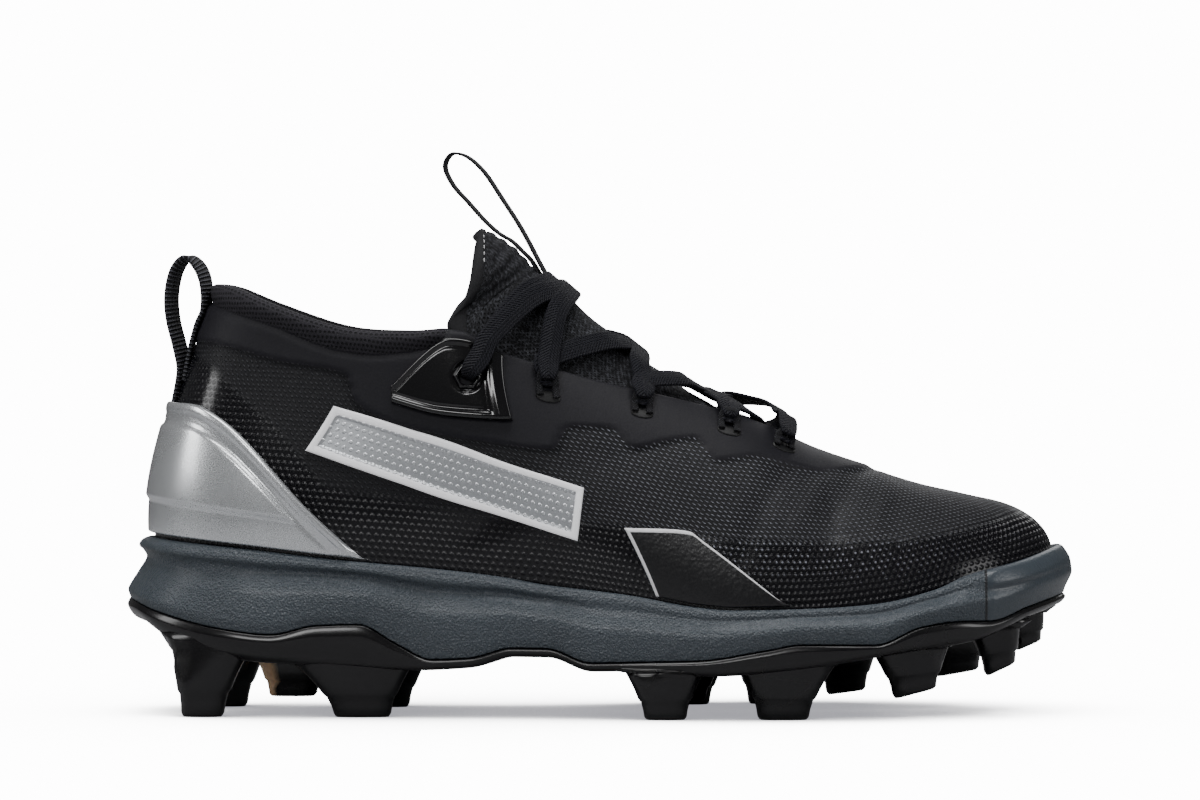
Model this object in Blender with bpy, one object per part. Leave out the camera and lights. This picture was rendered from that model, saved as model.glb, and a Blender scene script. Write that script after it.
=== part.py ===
"""Baseball cleat, right shoe: X runs forward to the toe, -Y is the lateral side, +Z is up.

The origin is under the middle of the shoe, on the floor plane that the lugs stand on.
Every table below holds its lengths as shares of the named sizes, chosen by hand.
"""

import math

import bmesh
import bpy
import numpy as np
from mathutils import Vector

# Main sizes, in metres.
LENGTH = 0.300
BALL_WIDTH = 0.108
COLLAR_HEIGHT = 0.135
SOLE_HEIGHT = 0.050

# Walls and clearances.
WALL = 0.0020
COLLAR_PAD = 0.0032
RIM_ROUND = 0.0012
EYESTAY_STEP = 0.0008
GAP = 0.0003
LIP = 0.0024
CREASE = 0.0009
PLATE_MIN = 0.0032
INSOLE_THICKNESS = 0.0040
TONGUE_THICKNESS = 0.0042
TONGUE_CLEARANCE = 0.0007
COUNTER_THICKNESS = 0.0016
LACE_PLATE_THICKNESS = 0.0022
PATCH_THICKNESS = 0.0008
BAR_THICKNESS = 0.0009
LACE_WIDTH = 0.0070
LACE_THICKNESS = 0.0012
EYELET_HOLE = 0.0055
EYELET_WEBBING_WIDTH = 0.0022
EYELET_WEBBING_THICKNESS = 0.0010
TONGUE_RIBBON_WIDTH = 0.0060
TONGUE_RIBBON_THICKNESS = 0.0008
HEEL_WEBBING_WIDTH = 0.0100
HEEL_WEBBING_THICKNESS = 0.0014

# Mesh fineness.
COLUMNS_PER_ROW = 3
LEG_STEPS = 4
BAND_STEPS = 2

# The upper, a row for each section from the heel centre to the toe centre. The foot columns are
# the line where the upper meets the sole, the top columns are the collar edge, then the throat
# edge, then the ridge over the toes. x is a share of LENGTH, y of BALL_WIDTH, foot z of
# SOLE_HEIGHT, top z of COLLAR_HEIGHT. The bow columns are the handles of the curve between the
# two, outward and up from the foot, outward and down from the top, as shares of BALL_WIDTH.
SECTIONS = (
    # foot x, lateral, medial, foot z, top x, lateral, medial, top z, out, up, out, down
    (-0.4617, 0.000, 0.000, 0.880, -0.4050, 0.000, 0.000, 0.992, 0.102, 0.222, 0.060, 0.150),
    (-0.4370, -0.165, 0.165, 0.880, -0.3850, -0.140, 0.140, 0.984, 0.095, 0.222, 0.045, 0.160),
    (-0.3733, -0.280, 0.270, 0.860, -0.3400, -0.232, 0.232, 0.942, 0.080, 0.230, 0.020, 0.260),
    (-0.2800, -0.306, 0.280, 0.820, -0.2680, -0.275, 0.275, 0.890, 0.070, 0.220, 0.018, 0.260),
    (-0.1867, -0.315, 0.262, 0.780, -0.2030, -0.292, 0.290, 0.880, 0.058, 0.204, 0.030, 0.240),
    (-0.1067, -0.333, 0.252, 0.740, -0.1450, -0.290, 0.285, 0.884, 0.048, 0.240, 0.055, 0.220),
    (-0.0267, -0.361, 0.272, 0.700, -0.0930, -0.262, 0.256, 0.832, 0.048, 0.240, 0.092, 0.170),
    (0.0567, -0.398, 0.330, 0.620, 0.0040, -0.226, 0.222, 0.770, 0.046, 0.222, 0.120, 0.111),
    (0.1333, -0.432, 0.385, 0.540, 0.0880, -0.186, 0.184, 0.728, 0.046, 0.204, 0.139, 0.083),
    (0.1933, -0.438, 0.424, 0.520, 0.1600, -0.136, 0.136, 0.683, 0.046, 0.185, 0.157, 0.065),
    (0.2533, -0.425, 0.438, 0.540, 0.2250, 0.000, 0.000, 0.618, 0.046, 0.167, 0.222, 0.023),
    (0.3200, -0.370, 0.412, 0.600, 0.2830, 0.010, 0.010, 0.574, 0.046, 0.148, 0.204, 0.014),
    (0.3850, -0.285, 0.335, 0.700, 0.3320, 0.020, 0.020, 0.540, 0.050, 0.122, 0.186, 0.018),
    (0.4370, -0.150, 0.235, 0.770, 0.3690, 0.028, 0.028, 0.520, 0.064, 0.104, 0.196, 0.020),
    (0.4700, 0.052, 0.052, 0.830, 0.3930, 0.036, 0.036, 0.506, 0.076, 0.098, 0.212, 0.020),
)
ROWS = len(SECTIONS) - 1
RING = 2 * ROWS
COLLAR_FRONT = 5.2
THROAT_END = 10

# The lower edge of the smooth eyestay band, on the side: x of LENGTH, z of COLLAR_HEIGHT.
BAND_EDGE = (
    # x, z
    (-0.415, 0.873),
    (-0.382, 0.856),
    (-0.338, 0.829),
    (-0.265, 0.796),
    (-0.254, 0.730),
    (-0.206, 0.676),
    (-0.125, 0.643),
    (-0.049, 0.623),
    (-0.032, 0.676),
    (0.010, 0.672),
    (0.036, 0.626),
    (0.068, 0.640),
    (0.100, 0.648),
    (0.122, 0.596),
    (0.162, 0.606),
    (0.200, 0.582),
    (0.235, 0.566),
    (0.270, 0.572),
)

# The sole's edges seen from the side: x of LENGTH, z of SOLE_HEIGHT.
LIP_EDGE = (
    # x, z of the midsole's upper edge
    (-0.500, 1.130),
    (-0.450, 1.100),
    (-0.371, 1.056),
    (-0.271, 0.988),
    (-0.176, 0.936),
    (-0.104, 0.886),
    (-0.056, 0.836),
    (0.029, 0.776),
    (0.101, 0.702),
    (0.136, 0.684),
    (0.220, 0.694),
    (0.286, 0.720),
    (0.347, 0.800),
    (0.383, 0.882),
    (0.430, 0.932),
    (0.478, 1.018),
)
JOIN_EDGE = (
    # x, z where the midsole meets the outsole
    (-0.500, 0.734),
    (-0.469, 0.666),
    (-0.393, 0.560),
    (-0.344, 0.530),
    (-0.297, 0.586),
    (-0.252, 0.594),
    (-0.212, 0.472),
    (-0.175, 0.374),
    (-0.137, 0.384),
    (-0.092, 0.448),
    (-0.055, 0.446),
    (-0.010, 0.360),
    (0.041, 0.368),
    (0.101, 0.378),
    (0.172, 0.444),
    (0.209, 0.480),
    (0.286, 0.476),
    (0.336, 0.584),
    (0.379, 0.614),
    (0.408, 0.610),
    (0.450, 0.688),
    (0.494, 0.758),
)
UNDER_EDGE = (
    # x, z of the outsole's underside between the lugs
    (-0.487, 0.560),
    (-0.460, 0.454),
    (-0.420, 0.380),
    (-0.340, 0.340),
    (-0.260, 0.320),
    (-0.190, 0.298),
    (-0.137, 0.314),
    (-0.080, 0.396),
    (-0.030, 0.366),
    (0.030, 0.290),
    (0.110, 0.272),
    (0.200, 0.310),
    (0.277, 0.376),
    (0.330, 0.420),
    (0.400, 0.480),
    (0.450, 0.590),
    (0.490, 0.660),
)

# How far the midsole's side stands out from the upper's foot line, a share of BALL_WIDTH for each
# row of SECTIONS: at its middle, at its join with the outsole, and the plate's lower edge.
FLARES = (
    # middle, join, plate bottom
    (0.072, 0.106, 0.040),
    (0.070, 0.097, 0.036),
    (0.066, 0.079, 0.030),
    (0.062, 0.066, 0.028),
    (0.058, 0.056, 0.026),
    (0.056, 0.054, 0.024),
    (0.058, 0.056, 0.024),
    (0.062, 0.060, 0.026),
    (0.064, 0.061, 0.028),
    (0.064, 0.061, 0.028),
    (0.064, 0.061, 0.028),
    (0.068, 0.063, 0.028),
    (0.074, 0.066, 0.028),
    (0.080, 0.066, 0.026),
    (0.084, 0.066, 0.020),
)


def spline(values, places, at):
    """Smooth curve through the values at rising places, with slopes that never overshoot."""
    places = np.asarray(places, float)
    values = np.asarray(values, float)
    steps = np.diff(places)
    rises = np.diff(values) / steps
    slopes = np.zeros_like(values)
    slopes[0] = rises[0]
    slopes[-1] = rises[-1]
    for i in range(1, len(values) - 1):
        if rises[i - 1] * rises[i] > 0:
            slopes[i] = 2 * rises[i - 1] * rises[i] / (rises[i - 1] + rises[i])
    at = np.clip(at, places[0], places[-1])
    i = np.clip(np.searchsorted(places, at) - 1, 0, len(steps) - 1)
    t = (at - places[i]) / steps[i]
    start = values[i] * (1 + 2 * t) * (1 - t) ** 2 + slopes[i] * steps[i] * t * (1 - t) ** 2
    end = values[i + 1] * t * t * (3 - 2 * t) - slopes[i + 1] * steps[i] * t * t * (1 - t)
    return start + end


def edge_height(edge, size, x):
    """Height of a side-view edge at x, in metres."""
    table = np.array(edge)
    return float(spline(table[:, 1], table[:, 0], x / LENGTH)) * size


def ring_table():
    """The sections once round the shoe: heel, lateral side, toe, medial side."""
    sizes = np.array((LENGTH, BALL_WIDTH, SOLE_HEIGHT, LENGTH, BALL_WIDTH, COLLAR_HEIGHT)
                     + (BALL_WIDTH,) * 4)
    rows = []
    for step in range(RING):
        row = SECTIONS[min(step, RING - step)]
        side = 1 if step <= ROWS else 2
        picked = (row[0], row[side], row[3], row[4], row[side + 4], row[7]) + row[8:]
        rows.append(np.array(picked) * sizes)
    return np.array(rows)


RING_TABLE = ring_table()


def ring_row(c):
    """One section at any place c round the ring, between the rows of the table."""
    i = int(math.floor(c))
    t = c - i
    a, b, d, e = (RING_TABLE[(i + k) % RING] for k in (-1, 0, 1, 2))
    return 0.5 * (2 * b + (d - a) * t + (2 * a - 5 * b + 4 * d - e) * t * t
                  + (3 * b - a - 3 * d + e) * t ** 3)


def outward(c):
    """Level direction away from the foot at ring place c."""
    ahead = ring_row(c + 0.05)[:2] - ring_row(c - 0.05)[:2]
    return np.array((ahead[1], -ahead[0], 0.0)) / np.hypot(*ahead)


def wall_handles(c):
    """The four control points of the wall's curve at ring place c."""
    row = ring_row(c)
    out = outward(c)
    foot = row[0:3]
    top = row[3:6].copy()
    if THROAT_END <= c % RING <= RING - THROAT_END:
        top = (top + ring_row(RING - c % RING)[3:6]) / 2
    up = np.array((0.0, 0.0, 1.0))
    low = foot + out * row[6] + up * row[7]
    high = top + out * row[8] - up * row[9]
    return foot, low, high, top


def wall(c, h, offset=0.0):
    """Point on the upper's outer face: h 0 at the foot line, 1 at the collar, throat or ridge."""
    foot, low, high, top = wall_handles(c)
    point = (foot * (1 - h) ** 3 + low * 3 * h * (1 - h) ** 2
             + high * 3 * h * h * (1 - h) + top * h ** 3)
    if offset:
        point = point + wall_normal(c, h) * offset
    return point


def wall_normal(c, h):
    """Outward normal of the upper's outer face."""
    step = 0.01
    h = min(max(h, step), 1 - step)
    along = wall(c + step, h) - wall(c - step, h)
    rise = wall(c, h + step) - wall(c, h - step)
    normal = np.cross(rise, along)
    length = np.linalg.norm(normal)
    if length < 1e-12:
        return outward(c)
    normal = normal / length
    return normal if normal @ outward(c) + normal[2] > 0 else -normal


def height_at_edge(c, edge, size, low=0.0, high=1.0):
    """The h where the wall at c crosses a side-view edge, found by halving."""
    def above(h):
        point = wall(c, h)
        return point[2] > edge_height(edge, size, point[0])
    if not above(high):
        return high
    for _ in range(18):
        middle = (low + high) / 2
        if above(middle):
            high = middle
        else:
            low = middle
    return (low + high) / 2


def from_heel(c):
    """Rows between ring place c and the heel centre, the same on both sides."""
    c = c % RING
    return min(c, RING - c)


def ease(value):
    """0 below 0, 1 above 1 and a soft step between."""
    value = min(max(value, 0.0), 1.0)
    return value * value * (3 - 2 * value)


COLUMNS = RING * COLUMNS_PER_ROW
PLACES = [step / COLUMNS_PER_ROW for step in range(COLUMNS)]
LIP_H = [height_at_edge(c, LIP_EDGE, SOLE_HEIGHT) for c in PLACES]
BAND_H = [height_at_edge(c, BAND_EDGE, COLLAR_HEIGHT, 0.45) for c in PLACES]
BAND_LAST = 0.93
SHARED = range(THROAT_END * COLUMNS_PER_ROW, COLUMNS // 2 + 1)


def wall_thickness(c, h):
    """The plain wall, thicker where the collar is padded."""
    pad = ease((h - 0.72) / 0.2) * ease((COLLAR_FRONT + 0.6 - from_heel(c)) / 1.4)
    return WALL + COLLAR_PAD * pad


def make_object(name, bm, colour, roughness, metallic=0.0, smooth_angle=40):
    """A named object with its own material from a finished bmesh, faces outward."""
    mesh = bpy.data.meshes.new(name)
    bmesh.ops.recalc_face_normals(bm, faces=bm.faces)
    bm.to_mesh(mesh)
    bm.free()
    material = bpy.data.materials.new(name)
    material.use_nodes = True
    shader = material.node_tree.nodes["Principled BSDF"]
    shader.inputs["Base Color"].default_value = (*colour, 1.0)
    shader.inputs["Roughness"].default_value = roughness
    shader.inputs["Metallic"].default_value = metallic
    mesh.materials.append(material)
    mesh.shade_smooth()
    mesh.set_sharp_from_angle(angle=math.radians(smooth_angle))
    piece = bpy.data.objects.new(name, mesh)
    bpy.context.scene.collection.objects.link(piece)
    return piece


def new_verts(bm, points):
    """Vertices at the points, in their order."""
    return [bm.verts.new(Vector(point)) for point in points]


def bridge(bm, ring_a, ring_b, closed=True):
    """Two triangles between each pair of neighbours in two rows of vertices."""
    count = len(ring_a)
    for i in range(count if closed else count - 1):
        j = (i + 1) % count
        loop = []
        for vert in (ring_a[i], ring_a[j], ring_b[j], ring_b[i]):
            if vert not in loop:
                loop.append(vert)
        if len(loop) == 4:
            bm.faces.new((loop[0], loop[1], loop[2]))
            bm.faces.new((loop[0], loop[2], loop[3]))
        elif len(loop) == 3:
            bm.faces.new(loop)


def rungs(bm, ring):
    """Close a ring of the shoe's columns with triangles from side to side."""
    count = len(ring)
    for i in range(count // 2):
        corners = []
        for k in (i, i + 1, count - i - 1, (count - i) % count):
            if ring[k] not in corners:
                corners.append(ring[k])
        if len(corners) == 4:
            bm.faces.new((corners[0], corners[1], corners[3]))
            bm.faces.new((corners[1], corners[2], corners[3]))
        elif len(corners) == 3:
            bm.faces.new(corners)


def slab(bm, outer, inner):
    """A closed sheet between an outer and an inner grid of points, row by row."""
    top = [new_verts(bm, row) for row in outer]
    base = [new_verts(bm, row) for row in inner]
    for a, b in zip(top, top[1:]):
        bridge(bm, a, b, closed=False)
    for a, b in zip(base, base[1:]):
        bridge(bm, b, a, closed=False)
    bridge(bm, top[0], base[0], closed=False)
    bridge(bm, top[-1], base[-1], closed=False)
    bridge(bm, [row[0] for row in top], [row[0] for row in base], closed=False)
    bridge(bm, [row[-1] for row in top], [row[-1] for row in base], closed=False)


def ridge_normal(c):
    """Normal on the line over the toes, where both sides meet."""
    normal = wall_normal(c, 1.0) + wall_normal(RING - c, 1.0)
    return normal / np.linalg.norm(normal)


def upper_column(step):
    """Outer and inner points of one column of the upper, from foot to top."""
    c = PLACES[step]
    lip = LIP_H[step]
    band = min(BAND_H[step], BAND_LAST)
    rise = EYESTAY_STEP * ease((BAND_LAST + 0.03 - BAND_H[step]) / 0.05)
    heights = [0.0, lip / 2, lip]
    heights += [lip + (band - lip) * (k + 1) / LEG_STEPS for k in range(LEG_STEPS)]
    outer = [wall(c, h) for h in heights]
    inner = [wall(c, 0.0) - outward(c) * wall_thickness(c, 0.0)]
    inner += [wall(c, h, -wall_thickness(c, h)) for h in heights[1:]]
    for k in range(BAND_STEPS + 1):
        h = band + 0.008 + (1 - band - 0.008) * k / BAND_STEPS
        outer.append(wall(c, h, rise))
        if k > 0:
            inner.append(wall(c, h, -wall_thickness(c, h)))
    if step in SHARED:
        normal = ridge_normal(c)
        outer[-1] = wall(c, 1.0) + normal * rise
        inner[-1] = wall(c, 1.0) - normal * wall_thickness(c, 1.0)
    return outer, inner


def rim_point(c, outer, inner, ends_throat):
    """Top of the rounded rim between the outer and inner faces."""
    if ends_throat:
        along = np.array((-1.0, 0.0, 0.0))
    else:
        along = wall(c, 1.0) - wall(c, 0.97)
        along = along / np.linalg.norm(along)
    return (outer + inner) / 2 + along * RIM_ROUND


def make_upper():
    """One hollow wall, open at the collar, down the throat and underneath."""
    bm = bmesh.new()
    outer_columns = []
    inner_columns = []
    rim = []
    last = COLUMNS - THROAT_END * COLUMNS_PER_ROW
    for step in range(COLUMNS):
        outer, inner = upper_column(step)
        twin = COLUMNS - step
        if step > COLUMNS // 2 and twin in SHARED:
            outer_columns.append(new_verts(bm, outer[:-1]) + [outer_columns[twin][-1]])
            inner_columns.append(new_verts(bm, inner[:-1]) + [inner_columns[twin][-1]])
        else:
            outer_columns.append(new_verts(bm, outer))
            inner_columns.append(new_verts(bm, inner))
        if step == last:
            rim.append(rim[THROAT_END * COLUMNS_PER_ROW])
        elif step <= THROAT_END * COLUMNS_PER_ROW or step > last:
            ends = step == THROAT_END * COLUMNS_PER_ROW
            rim += new_verts(bm, [rim_point(PLACES[step], outer[-1], inner[-1], ends)])
        else:
            rim.append(None)
    for step in range(COLUMNS):
        after = (step + 1) % COLUMNS
        bridge(bm, outer_columns[step], outer_columns[after], closed=False)
        bridge(bm, inner_columns[after], inner_columns[step], closed=False)
        foot = (outer_columns[step][0], outer_columns[after][0])
        bridge(bm, foot, (inner_columns[step][0], inner_columns[after][0]), closed=False)
        if rim[step] and rim[after]:
            crest = (rim[step], rim[after])
            bridge(bm, (outer_columns[step][-1], outer_columns[after][-1]), crest, closed=False)
            bridge(bm, crest, (inner_columns[step][-1], inner_columns[after][-1]), closed=False)
    return make_object("upper", bm, (0.035, 0.036, 0.045), 0.6)


def flare(c, column):
    """How far the sole's side stands out at ring place c, in metres."""
    values = [row[column] for row in FLARES]
    return float(spline(values, range(ROWS + 1), from_heel(c))) * BALL_WIDTH


def sole_point(c, stand_out, z):
    """Point outside the foot line at ring place c, at a height."""
    point = wall(c, 0.0) + outward(c) * stand_out
    point[2] = z
    return point


def sole_heights(c):
    """Heights of the midsole's lip, its join with the outsole and the plate's underside."""
    lip = edge_height(LIP_EDGE, SOLE_HEIGHT, wall(c, 0.0)[0])
    x = sole_point(c, flare(c, 1), 0.0)[0]
    join = edge_height(JOIN_EDGE, SOLE_HEIGHT, x)
    under = min(edge_height(UNDER_EDGE, SOLE_HEIGHT, x), join - PLATE_MIN)
    return lip, join, under


# The midsole's side, shares of its height from the join with the outsole up to its lip.
LIP_SHOULDER = 0.84
LIP_CREASE = 0.76
SIDE_MIDDLE = 0.46
SIDE_LOW = 0.10
SOLE_ROUND = 0.0006


def make_midsole():
    """A dish that holds the foot of the upper, with a lip, a crease and a bulging side."""
    bm = bmesh.new()
    rings = [[] for _ in range(9)]
    for step, c in enumerate(PLACES):
        lip_h = LIP_H[step]
        lip_z, join, _ = sole_heights(c)
        floor = wall(c, 0.0) + outward(c) * GAP
        floor[2] -= GAP
        inner = wall(c, lip_h, GAP)
        edge = inner + outward(c) * LIP
        span = inner[2] - join
        edge[2] = inner[2] - SOLE_ROUND
        crease = edge - outward(c) * CREASE
        crease[2] = join + span * LIP_CREASE
        shoulder = edge.copy()
        shoulder[2] = join + span * LIP_SHOULDER
        middle = sole_point(c, flare(c, 0), join + span * SIDE_MIDDLE)
        low = sole_point(c, flare(c, 1), join + span * SIDE_LOW)
        foot = sole_point(c, flare(c, 1) - SOLE_ROUND, join)
        points = (floor, wall(c, lip_h / 2, GAP), inner, edge, shoulder, crease, middle, low, foot)
        for ring, point in zip(rings, points):
            ring.append(point)
    loops = [new_verts(bm, ring) for ring in rings]
    for a, b in zip(loops, loops[1:]):
        bridge(bm, a, b)
    rungs(bm, loops[0])
    rungs(bm, loops[-1])
    return make_object("midsole", bm, (0.055, 0.075, 0.090), 0.5)


def make_insole():
    """Flat bed that lies on the midsole's floor, inside the upper."""
    bm = bmesh.new()
    inset = WALL + 2 * GAP
    base = []
    top = []
    for c in PLACES:
        point = wall(c, 0.0) - outward(c) * inset
        base.append(point)
        top.append(point + np.array((0.0, 0.0, INSOLE_THICKNESS)))
    base = new_verts(bm, base)
    top = new_verts(bm, top)
    bridge(bm, base, top)
    rungs(bm, base)
    rungs(bm, top)
    return make_object("insole", bm, (0.05, 0.05, 0.055), 0.8)


# The lugs under the sole: x of LENGTH and y of BALL_WIDTH at the tip, how far the root reaches
# past the tip behind, ahead and to each side, shares of LENGTH, and the tip's z of SOLE_HEIGHT.
LUGS = (
    # tip rear x, tip front x, outer y, inner y, behind, ahead, beside, tip z rear, tip z front
    (-0.438, -0.394, -0.300, -0.190, 0.010, 0.026, 0.010, 0.000, 0.000),
    (-0.278, -0.219, -0.310, -0.200, 0.044, 0.024, 0.010, 0.000, 0.000),
    (0.046, 0.090, -0.440, -0.310, 0.020, 0.018, 0.010, 0.000, 0.000),
    (0.164, 0.217, -0.440, -0.310, 0.020, 0.026, 0.010, 0.000, 0.000),
    (0.306, 0.351, -0.340, -0.220, 0.026, 0.012, 0.008, 0.120, 0.182),
    (0.405, 0.437, -0.180, -0.060, 0.018, 0.004, 0.008, 0.244, 0.318),
    (-0.430, -0.378, 0.290, 0.185, 0.010, 0.024, 0.010, 0.000, 0.000),
    (-0.262, -0.204, 0.262, 0.160, 0.040, 0.022, 0.010, 0.000, 0.000),
    (0.060, 0.118, 0.400, 0.280, 0.020, 0.018, 0.010, 0.000, 0.000),
    (0.160, 0.205, 0.430, 0.310, 0.018, 0.020, 0.010, 0.000, 0.000),
    (0.244, 0.286, 0.410, 0.300, 0.018, 0.014, 0.008, 0.060, 0.090),
    (0.360, 0.406, 0.320, 0.200, 0.018, 0.010, 0.008, 0.190, 0.234),
    (0.440, 0.468, 0.110, -0.010, 0.012, 0.002, 0.006, 0.384, 0.442),
    (-0.350, -0.300, 0.070, -0.070, 0.014, 0.014, 0.008, 0.100, 0.100),
    (0.070, 0.112, 0.060, -0.080, 0.014, 0.014, 0.008, 0.070, 0.070),
    (0.190, 0.230, 0.080, -0.060, 0.014, 0.014, 0.008, 0.100, 0.120),
    (0.300, 0.336, 0.090, -0.030, 0.012, 0.010, 0.008, 0.240, 0.270),
)
LUG_CORNER = 0.22
LUG_STEP = 0.42
LUG_ROOT = 0.0016
LUG_STEP_HEIGHT = 0.12
LUG_STEP_OUT = 0.16

# The outsole plate's side, shares of its thickness down and of its narrowing.
PLATE_SHOULDER = 0.35
PLATE_TUCK = 0.75
PLATE_TUCK_IN = 0.30


def lug_ring(low, high, z_rear, z_front):
    """Eight points round a block with cut corners, its end sloping from rear to front."""
    cut = [(high[k] - low[k]) * LUG_CORNER for k in (0, 1)]
    plan = (
        (low[0] + cut[0], low[1]), (high[0] - cut[0], low[1]),
        (high[0], low[1] + cut[1]), (high[0], high[1] - cut[1]),
        (high[0] - cut[0], high[1]), (low[0] + cut[0], high[1]),
        (low[0], high[1] - cut[1]), (low[0], low[1] + cut[1]),
    )
    slope = (z_front - z_rear) / (high[0] - low[0])
    return [(x, y, z_rear + slope * (x - low[0])) for x, y in plan]


def make_lug(name, row):
    """A tapered block from the floor up into the plate, with a step below its root."""
    rear, front, outer, inner, behind, ahead, beside, z_rear, z_front = row
    low = (rear * LENGTH, min(outer, inner) * BALL_WIDTH)
    high = (front * LENGTH, max(outer, inner) * BALL_WIDTH)
    middle_x = (rear + front) / 2 * LENGTH
    root_z = edge_height(UNDER_EDGE, SOLE_HEIGHT, middle_x) + LUG_ROOT
    bm = bmesh.new()
    rings = []
    stepped = LUG_STEP + LUG_STEP_HEIGHT
    for share, spread in ((0.0, 0.0), (LUG_STEP, LUG_STEP), (stepped, stepped + LUG_STEP_OUT),
                          (1.0, 1.0)):
        grown_low = (low[0] - behind * LENGTH * spread, low[1] - beside * LENGTH * spread)
        grown_high = (high[0] + ahead * LENGTH * spread, high[1] + beside * LENGTH * spread)
        levels = [z * SOLE_HEIGHT * (1 - share) + root_z * share for z in (z_rear, z_front)]
        rings.append(new_verts(bm, lug_ring(grown_low, grown_high, *levels)))
    for a, b in zip(rings, rings[1:]):
        bridge(bm, a, b)
    bm.faces.new(rings[0])
    bm.faces.new(rings[-1])
    lug = make_object(name, bm, (0.01, 0.01, 0.012), 0.3)
    lug.hide_render = True
    lug.display_type = "WIRE"
    return lug


def make_outsole():
    """The plate under the midsole, wavy along its side, with the lugs joined to it."""
    bm = bmesh.new()
    rings = [[] for _ in range(4)]
    for c in PLACES:
        _, join, under = sole_heights(c)
        join -= GAP
        tucked = flare(c, 1) + (flare(c, 2) - flare(c, 1)) * PLATE_TUCK_IN
        points = (
            sole_point(c, flare(c, 1) - SOLE_ROUND, join),
            sole_point(c, flare(c, 1), join - (join - under) * PLATE_SHOULDER),
            sole_point(c, tucked, join - (join - under) * PLATE_TUCK),
            sole_point(c, flare(c, 2), under),
        )
        for ring, point in zip(rings, points):
            ring.append(point)
    loops = [new_verts(bm, ring) for ring in rings]
    for a, b in zip(loops, loops[1:]):
        bridge(bm, a, b)
    rungs(bm, loops[0])
    rungs(bm, loops[-1])
    plate = make_object("outsole", bm, (0.01, 0.01, 0.012), 0.25)
    for number, row in enumerate(LUGS):
        lug = make_lug(f"lug_cutter_{number}", row)
        join = plate.modifiers.new(f"lug {number}", "BOOLEAN")
        join.operation = "UNION"
        join.object = lug
    return plate


# The tongue inside the throat, a row for each hoop from its tip to the collar: the section row
# whose wall its wings follow, the wings' span of h, and the ridge, x of LENGTH, z of
# COLLAR_HEIGHT.
HOOPS = (
    # section, h low, h top, ridge x, ridge z
    (10.40, 0.66, 0.76, 0.238, 0.566),
    (10.00, 0.68, 0.80, 0.218, 0.588),
    (9.50, 0.72, 0.88, 0.193, 0.622),
    (9.00, 0.75, 0.95, 0.163, 0.660),
    (8.00, 0.78, 1.00, 0.103, 0.742),
    (7.00, 0.80, 1.00, 0.040, 0.838),
    (6.00, 0.82, 1.00, -0.030, 0.968),
    (5.20, 0.86, 1.00, -0.063, 1.030),
)

# The tongue above the collar: edge x and ridge x of LENGTH, edge y of BALL_WIDTH, z of
# COLLAR_HEIGHT.
FREE_HOOPS = (
    # edge x, edge y, edge z, ridge x, ridge z
    (-0.161, 0.226, 0.910, -0.074, 1.052),
    (-0.143, 0.226, 0.966, -0.088, 1.086),
    (-0.137, 0.206, 1.030, -0.104, 1.112),
    (-0.134, 0.156, 1.092, -0.118, 1.130),
    (-0.131, 0.100, 1.126, -0.127, 1.138),
)
HOOP_POINTS = 7
HOOPS_PER_ROW = 2

# How a hoop arches from its wing to its ridge: handle lengths as shares of the way, and the
# slope of the free part's edge.
ARCH_LOW = 0.30
ARCH_HIGH = 0.62
FREE_SLOPE = (0.80, 0.05, 0.60)


def inside_wall(c, h):
    """Point that clears the upper's inner face."""
    return wall(c, h, -(wall_thickness(c, h) + TONGUE_CLEARANCE))


def hoop_half(a, side):
    """Half of the tongue's hoop at place a, from its edge to its ridge."""
    last = len(HOOPS) - 1
    if last < a < last + 1:
        t = a - last
        return hoop_half(last, side) * (1 - t) + hoop_half(last + 1, side) * t
    if a <= last:
        values = [float(spline([row[k] for row in HOOPS], range(last + 1), a)) for k in range(5)]
        c = values[0] if side < 0 else RING - values[0]
        spans = [values[1] + (values[2] - values[1]) * t for t in (0.0, 0.5, 1.0)]
        wing = [inside_wall(c, h) for h in spans]
        ridge = np.array((values[3] * LENGTH, 0.0, values[4] * COLLAR_HEIGHT))
        slope = wing[2] - wing[1]
        slope = slope / np.linalg.norm(slope)
    else:
        free = range(len(FREE_HOOPS))
        values = [float(spline([row[k] for row in FREE_HOOPS], free, a - last - 1))
                  for k in range(5)]
        edge = np.array((values[0] * LENGTH, side * values[1] * BALL_WIDTH,
                         values[2] * COLLAR_HEIGHT))
        ridge = np.array((values[3] * LENGTH, 0.0, values[4] * COLLAR_HEIGHT))
        wing = [edge]
        slope = np.array((FREE_SLOPE[0], side * FREE_SLOPE[1], FREE_SLOPE[2]))
    reach = np.linalg.norm(ridge - wing[-1])
    low = wing[-1] + slope * reach * ARCH_LOW
    high = ridge + np.array((0.0, side * abs(wing[-1][1]) * ARCH_HIGH, 0.0))
    steps = HOOP_POINTS - len(wing)
    arch = []
    for k in range(1, steps + 1):
        t = k / steps
        arch.append(wing[-1] * (1 - t) ** 3 + low * 3 * t * (1 - t) ** 2
                    + high * 3 * t * t * (1 - t) + ridge * t ** 3)
    return np.array(wing + arch)


def hoop(a):
    """The tongue's outer face across the shoe at place a, from lateral to medial edge."""
    return np.vstack((hoop_half(a, -1), hoop_half(a, 1)[-2::-1]))


def grid_normals(grid):
    """Normals of a grid of points, from the slopes along its rows and columns."""
    along = np.gradient(grid, axis=0)
    across = np.gradient(grid, axis=1)
    normals = np.cross(along, across)
    normals /= np.linalg.norm(normals, axis=2, keepdims=True)
    return normals


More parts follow.
